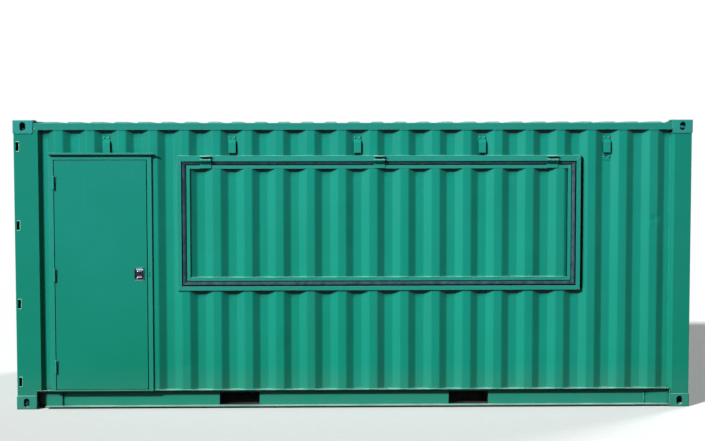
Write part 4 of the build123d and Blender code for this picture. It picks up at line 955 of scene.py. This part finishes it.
# from the second inner flat on, every fourth one carries a vent
first_flat = SIDE_WAVE["start"] + SIDE_WAVE["slope"] + SIDE_WAVE["inner"] / 2
vent_centres = first_flat + (1 + 4 * np.arange(5)) * wave_corners(SIDE_WAVE)[1]
screw_x = [x + dx for x in vent_centres for dx in (-SCREW_ASIDE, SCREW_ASIDE)]
top_screws, low_screws = ([(x, z) for x in screw_x] for z in SCREW_LEVELS)
screws, washers = [], []
for side, places in ((-1, top_screws + low_screws[-2:]), (1, top_screws + low_screws)):
    centres = [row_metres(x, side * SCREW_SEAT, z) for x, z in places]
    screws += turned(centres, (0, side, 0), PAN_HEAD, 12)
    washers += turned(centres, (0, side, 0), WASHER, 16)
build_piece("vent_screws", screws, frame_enamel, "cabin")
# painted highlight: the washers take the paler weld paint, which shows light rings round the screws
build_piece("vent_washers", washers, weld_highlight_enamel, "cabin")

# %% [markdown]
# The bolts of the cargo gear sit four to a saddle and four to a hinge blade. A hexagon head is the same
# turned shape with six steps round the turn.

# %% Bolts of the cargo gear

HEX_HEAD = [(0, 8.0), (8.0, 8.0), (10.4, 7.0), (10.8, 5.5), (10.8, 0.0), (0, -0.2)]
BAR_Y, SADDLE_LEVELS, SADDLE_FACE = [144.0, 881.0, -144.0, -881.0], [243.0, 1321.5, 2400.0], -2986.0
BLADE_BOLT_Y, BLADE_FACE = [1115.0, 1090.0, -1115.0, -1090.0], -2993.0
y, dy, z, dz = np.meshgrid(BAR_Y, [-32.0, 32.0], SADDLE_LEVELS, [-17.0, 17.0])
saddle_bolts = row_metres(SADDLE_FACE, y + dy, z + dz).reshape(-1, 3)
y, z, dz = np.meshgrid(BLADE_BOLT_Y, NOTCH_LEVELS, [-18.0, 18.0])
blade_bolts = row_metres(BLADE_FACE, y, z + dz).reshape(-1, 3)
bolts = turned(np.concatenate([saddle_bolts, blade_bolts]), (-1, 0, 0), HEX_HEAD, 6, turn=0.3)
build_piece("cargo_gear_bolts", bolts, rail_enamel, "cabin", sharp=20.0)

# %% [markdown]
# The pins of the door hinges end in small domes, and a collar joins each handle to its locking bar. Two
# blobs of spatter stay by the casting over the door, as the welder left them.

# %% Pin ends, collars and spatter

DOME = [(0, 4.6), (3.0, 4.2), (6.0, 2.9), (7.8, 1.0), (8.2, 0.0), (8.2, -0.3), (0, -0.3)]
COLLAR = [(0, 26), (21.5, 26), (23.5, 24), (23.5, -24), (21.5, -26), (0, -26)]
PIN_X, PIN_Y, PIN_FEET, PIN_LONG = -2671.0, -1232.0, np.array([327.0, 1152.0, 1977.0]), 112.0
pin_ends = turned(row_metres(PIN_X, PIN_Y, PIN_FEET + PIN_LONG), (0, 0, 1), DOME, 16)
pin_ends += turned(row_metres(PIN_X, PIN_Y, PIN_FEET), (0, 0, -1), DOME, 16)
build_piece("door_hinge_pin_ends", pin_ends, leaf_enamel, "cabin")
# the handles stand lower on the two inner bars than on the outer ones
BAR_X, COLLAR_Y, COLLAR_LEVELS = -3003.0, (144.0, -144.0, 881.0, -881.0), (1120.0, 1120.0, 1210.0, 1210.0)
collars = turned(row_metres(BAR_X, COLLAR_Y, COLLAR_LEVELS), (0, 0, 1), COLLAR, 24)
build_piece("handle_collars", collars, rail_enamel, "cabin")
SPATTER_X, SPATTER_LEVELS = (-2838.0, -2833.0), (2507.0, 2513.0)
spatter = turned(row_metres(SPATTER_X, -CASTING_FACE - 0.2, SPATTER_LEVELS), (0, -1, 0), DOME, 10)
# painted highlight: the spatter takes the paler weld paint
build_piece("weld_spatter", spatter, weld_highlight_enamel, "cabin")

# %% [markdown]
# The hood of a vent is open underneath. An insect mesh, pressed into a shallow wave, closes its mouth; its
# near black green is painted shade, the shade inside the hood.
# Over the door and the hatch the frames come up to the hood, so those meshes are shorter.

# %% Insect meshes of the vents

MESH_HEAD, MESH_FOOT = 2296.0, 2263.0
front_feet = (2287.5, 2273.5, 2273.5, 2273.5, MESH_FOOT)
mouths = [(-1, x, foot) for x, foot in zip(vent_centres, front_feet)] + [(1, x, MESH_FOOT) for x in vent_centres]
along, up = np.meshgrid(np.linspace(-1, 1, 33), np.linspace(0, 1, 13))
edge = np.minimum(1, 6 * (1 - np.abs(along))) * np.minimum(1, 6 * np.minimum(up, 1 - up))
bump = 1.6 * edge * (1 + 0.5 * np.sin(along * 40) * np.sin(up * 14))
meshes = []
for side, x, foot in mouths:
    points = row_metres(x + 25 * along, side * (1178.2 + bump), foot + (MESH_HEAD - foot) * up)
    # on the back wall the quads are turned over, so that they face outwards there too
    meshes.append((points.reshape(-1, 3), grid_faces(*along.shape)[:, ::-side], np.zeros((along.size, 2))))
build_piece("vent_meshes", meshes, mesh_shade_enamel, "cabin")

# %% [markdown]
# The covers over the hatch hinges are folded from thin plate. Their front edge is rolled, which makes it
# stiff and gives the light a line to run along; its pale paint is a painted highlight.

# %% Rolled edges of the hinge covers

ROLL = [(0, 50.0), (3.2, 49.6), (3.9, 48.5), (3.9, -48.5), (3.2, -49.6), (0, -50.0)]
COVER_MIDDLES, COVER_LIP, COVER_FOOT = (-1323.0, 224.5, 1772.0), -1247.0, 2266.5
rolls = turned(row_metres(COVER_MIDDLES, COVER_LIP, COVER_FOOT), (1, 0, 0), ROLL, 16)
build_piece("hinge_cap_rolls", rolls, rim_highlight_enamel, "cabin")

# %% [markdown]
# The gap under the door is closed by a narrow painted sweep on the foot of the leaf. Its rounded section is
# carried straight along the leaf and stops 2.5 mm over the threshold.

# %% Door sweep

sweep_y = np.array([-1214.0, -1219.5, -1221.4, -1221.8, -1221.2, -1219.4, -1214.0])
sweep_z = np.array([185.0, 185.0, 183.6, 181.8, 180.0, 178.6, 178.5])
sweep_x = np.array([-2664.0, -2660.0, -2460.0, -2260.0, -2060.0, -1859.0, -1855.0])
build_piece("door_sweep", [shell(row_metres(sweep_x[:, None], sweep_y, sweep_z))], leaf_enamel, "personnel_door")

# %% [markdown]
# The hatch's frame and its flap were mitred at the corners and welded across the face. The weld was ground
# down, which leaves a low ridge along each diagonal. Two thin fillets back to back make one ridge.

# %% Mitre welds


def mitre_ridge(outer, inner, face):
    """A ridge 2.6 mm high along a diagonal from an outer to an inner corner (x, z) on a face at y."""
    path = straight((outer[0], face, outer[1]), (inner[0], face, inner[1]), step=5.0)
    square = np.cross(unit(path[-1] - path[0]), (0.0, 1.0, 0.0))
    return [fillet(path, way, (0.0, -0.7, 0.0), 2.6) for way in (square, -square)]


def corner_ridges(left, right, foot, head, side, top, face):
    """The four ridges of a frame with the given outer edges. Its sides and foot have one width, its head one."""
    ridges = []
    for z, inner_z in ((foot, foot + side), (head, head - top)):
        for x, inner_x in ((left, left + side), (right, right - side)):
            ridges += mitre_ridge((x, z), (inner_x, inner_z), face)
    return ridges


STILE, HEAD_RAIL, FLAP_STILE, FRAME_FACE, FLAP_FACE = 38.0, 50.0, 30.0, -1224.0, -1213.0
FLAP = (PANEL_LEFT - FLAP_STILE, PANEL_RIGHT + FLAP_STILE, PANEL_FOOT - FLAP_STILE, PANEL_HEAD + FLAP_STILE)
fixed_ridges = corner_ridges(HATCH_LEFT, HATCH_RIGHT, HATCH_FOOT, HATCH_HEAD, STILE, HEAD_RAIL, FRAME_FACE)
build_piece("hatch_frame_mitre_welds", fixed_ridges, weld_highlight_enamel, "cabin")
flap_ridges = corner_ridges(*FLAP, FLAP_STILE, FLAP_STILE, FLAP_FACE)
build_piece("flap_mitre_welds", flap_ridges, weld_highlight_enamel, "serving_hatch")

# %% [markdown]
# ## The door's latch
#
# A pressed dish of chromium plate is let into the door. A paddle stands in it, tilted so that its lower lip
# comes out to the fingers, with a lock cylinder through it. Both are nested rounded rectangles: each row
# of the grid is one such ring with its own size and depth, and the first and last rings shrink to a point.

# %% Dish, paddle and lock

LATCH_X, LATCH_Z = -1919.0, 1219.0


def rounded_rings(sizes):
    """Rings (half width, half height, corner radius), each four quarter circles of seven points: a corner's
    centre plus radius times (cos, sin)."""
    half_u, half_v, radius = np.asarray(sizes, float).T[:, :, None]
    turn = np.radians(np.arange(4)[:, None] * 90 + np.linspace(0, 90, 7)).reshape(-1)
    corner = np.radians(np.repeat(np.arange(4) * 90 + 45, 7))
    u = np.sign(np.cos(corner)) * (half_u - radius) + radius * np.cos(turn)
    v = np.sign(np.sin(corner)) * (half_v - radius) + radius * np.sin(turn)
    return u, v


dish_rings = [(0, 0, 0), (31, 33, 5), (32.5, 35.5, 6), (40.2, 54.0, 9), (41.2, 55.4, 10), (42.2, 57, 11),
              (43.9, 58.9, 12), (44, 59, 12), (44, 59, 12), (36.4, 49.4, 9.6), (36.2, 49.2, 9.4),
              (32, 36, 6), (30, 33, 5), (0, 0, 0)]
dish_y = np.array([-1206.5, -1206.5, -1207.2, -1222.6, -1223.8, -1224.4, -1224.3, -1222.6, -1222, -1222, -1220.5,
                   -1205.4, -1204.6, -1204.6])
u, v = rounded_rings(dish_rings)
in_floor = (np.arange(len(u)) < 4)[:, None]
# the floor of the dish sits nearer the right side, which leaves the left slope longer
u = u + 3.0 * np.clip((38.0 - np.abs(u)) / 6.0, 0, 1) * in_floor
# the slope above the paddle is longer than the one below: the floor of the dish sits 5 mm low
v = v - 5.0 * np.clip((52.0 - np.abs(v)) / 16.0, 0, 1) * in_floor
dish = row_metres(LATCH_X + u, np.broadcast_to(dish_y[:, None], u.shape), LATCH_Z + v)
build_piece("latch_dish", [shell(dish)], chrome, "personnel_door", ["door_latch_dish"])

share = np.array([0.0, 0.25, 0.5, 0.7, 0.85, 0.95, 1.0, 1.0, 0.95, 0.0])
bulge = np.array([1.8, 1.8, 1.6, 1.3, 0.9, 0.4, -0.6, -2.2, -3.2, -3.2])
u, v = rounded_rings(share[:, None] * np.array([22.0, 31.0, 7.0]))
scoop = 9.0 * np.clip((-v - 6.0) / 25.0, 0, 1) ** 1.6
paddle = row_metres(LATCH_X + 1.0 + u, -1211.5 - scoop - bulge[:, None], LATCH_Z - 6.0 + v)
build_piece("latch_paddle", [shell(paddle)], chrome, "personnel_door", ["door_latch_paddle"])

LOCK = [(0, 3.2), (5.5, 3.2), (6.2, 4.0), (9.0, 4.0), (10.2, 3.0), (10.4, -4.0), (0, -4.0)]
lock = turned(row_metres([LATCH_X + 5.0], -1212.5, [LATCH_Z + 6.0]), (0, -1, 0), LOCK, 24)
build_piece("latch_lock_cylinder", lock, black_nickel, "personnel_door")

# %% [markdown]
# ## Floor, light and camera
#
# The floor is a plain pale plane. It looks pale to the camera but reflects less light than it shows, so
# the underside of the container stays as dark as it is on tarmac. Far from the container it fades into the
# white background, so no horizon cuts the picture.

# %% The floor


def seen_by(node, *kinds):
    """1 for rays of the given kinds and 0 for all others, such as those that carry light between surfaces."""
    ray = node("LightPath").outputs
    seen = ray[kinds[0]]
    for kind in kinds[1:]:
        seen = node("Math", [seen, ray[kind]], operation="MAXIMUM")
    return seen


def pale_floor(name):
    """A pale matt floor: full colour for the camera and reflections, less for the light it gives back."""
    made, node, place = new_material(name)
    seen = seen_by(node, "Is Camera Ray", "Is Glossy Ray")
    speck = node("TexNoise", {"Vector": place, "Scale": 1 / (80 * MM), "Detail": 4.0})
    pale = node("MixRGB", [speck, linear("#dedede"), linear("#e6e6e6")])
    colour = node("MixRGB", [seen, linear("#282828"), pale])
    matt = node("BsdfPrincipled", {"Base Color": colour, "Roughness": 0.9})
    away = node("VectorMath", [place], operation="LENGTH").outputs["Value"]
    far = node("MapRange", [away, 6.0, 45.0], interpolation_type="SMOOTHSTEP")
    faded = node("Math", [far, seen], operation="MULTIPLY")
    white = node("Emission", {"Color": (1.0, 1.0, 1.0, 1.0), "Strength": 1.0})
    node("OutputMaterial", [node("MixShader", [faded, matt, white])])
    return made


FLOOR_HALF = 200.0
floor_mesh = bpy.data.meshes.new("ground")
floor_mesh.from_pydata([(-FLOOR_HALF, -FLOOR_HALF, 0), (FLOOR_HALF, -FLOOR_HALF, 0), (FLOOR_HALF, FLOOR_HALF, 0),
                        (-FLOOR_HALF, FLOOR_HALF, 0)], [], [(0, 1, 2, 3)])
floor_mesh.materials.append(pale_floor("pale_floor"))
ground = new_object("ground", floor_mesh)
ground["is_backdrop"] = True
print("floor of", 2 * FLOOR_HALF, "m")

# %% [markdown]
# The world fills the shadows evenly with a weak bluish light, and the camera and reflections see it white.

# %% The world

world = bpy.data.worlds.new("studio")
bpy.context.scene.world = world
world.use_nodes = True
world.node_tree.nodes.clear()
node = functools.partial(add_node, world.node_tree)
seen = seen_by(node, "Is Camera Ray", "Is Glossy Ray", "Is Transmission Ray")
fill = node("Background", {"Color": linear("#dfe8f2"), "Strength": 0.022})
white = node("Background", {"Color": (1.0, 1.0, 1.0, 1.0), "Strength": 1.0})
node("OutputWorld", {"Surface": node("MixShader", [seen, fill, white])})
print("world:", world.name)

# %% [markdown]
# One sun stands up and to the left, 45 degrees off the wall and 30 degrees high, because that is what
# draws the light and dark stripes on the corrugation and the scalloped shadow under the roof rail. A
# second, weak lamp shines from behind and to the right. It misses the wall with the door, which keeps its
# contrast, and opens up the back, the blind end and the roof for anyone who walks round.

# %% The two lamps


def place_looking(obj, at, forward, up=(0.0, 0.0, 1.0)):
    """Stands an object at a point with its -Z axis along forward: right = forward x up, then up again."""
    forward = unit(forward)
    right = unit(np.cross(forward, up))
    matrix = np.eye(4)
    matrix[:3, :3] = np.column_stack([right, np.cross(right, forward), -forward])
    matrix[:3, 3] = at
    obj.matrix_world = matrix.T.tolist()


def sun_lamp(name, energy, spread, at, way):
    """A sun whose light spreads over some degrees and shines along way from its place."""
    lamp = bpy.data.lights.new(name, "SUN")
    lamp.energy, lamp.angle = energy, math.radians(spread)
    place_looking(new_object(name, lamp), at, way)
    print(name, "shines along", [round(float(v), 3) for v in unit(way)])


sun_turn, sun_height = math.radians(45.0), math.radians(30.4)
sun_way = (math.cos(sun_height) * math.sin(sun_turn), math.cos(sun_height) * math.cos(sun_turn),
           -math.sin(sun_height))
sun_lamp("key_sun", 5.75, 4.0, (-8.0, -8.0, 7.0), sun_way)
sun_lamp("back_fill", 1.9, 20.0, (8.0, 9.0, 7.0), (-0.62, -0.60, -0.50))

# %% [markdown]
# The camera was found by fitting the corner castings, the rails and the corrugation to the photograph:
# it stands 13 m in front of the wall at 2.4 m, a little left of the middle, and looks down 3.4 degrees.
# The lens follows from the focal length in pixels and the 705 pixel width of the picture.

# %% The camera

PICTURE_WIDTH_PX, FOCAL_PX = 705, 1331.0
CAMERA_AT = (-0.2233, -13.0716, 2.3977)
camera_yaw, camera_pitch, camera_roll = 0.0175, 0.0593, -0.0012
camera_data = bpy.data.cameras.new("camera")
camera_data.sensor_width = 36.0
camera_data.lens = FOCAL_PX / PICTURE_WIDTH_PX * camera_data.sensor_width
camera = new_object("camera", camera_data)
camera_way = np.array([math.sin(camera_yaw) * math.cos(camera_pitch), math.cos(camera_yaw) * math.cos(camera_pitch),
                       -math.sin(camera_pitch)])
level_right = np.array([math.cos(camera_yaw), -math.sin(camera_yaw), 0.0])
level_up = np.cross(level_right, camera_way)
tilted_up = math.cos(camera_roll) * level_up - math.sin(camera_roll) * level_right
place_looking(camera, CAMERA_AT, camera_way, tilted_up)
bpy.context.scene.camera = camera
bpy.context.scene.view_settings.view_transform = "Standard"
print("lens", round(camera_data.lens, 2), "mm")

# %% Measure the sizes
low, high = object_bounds()
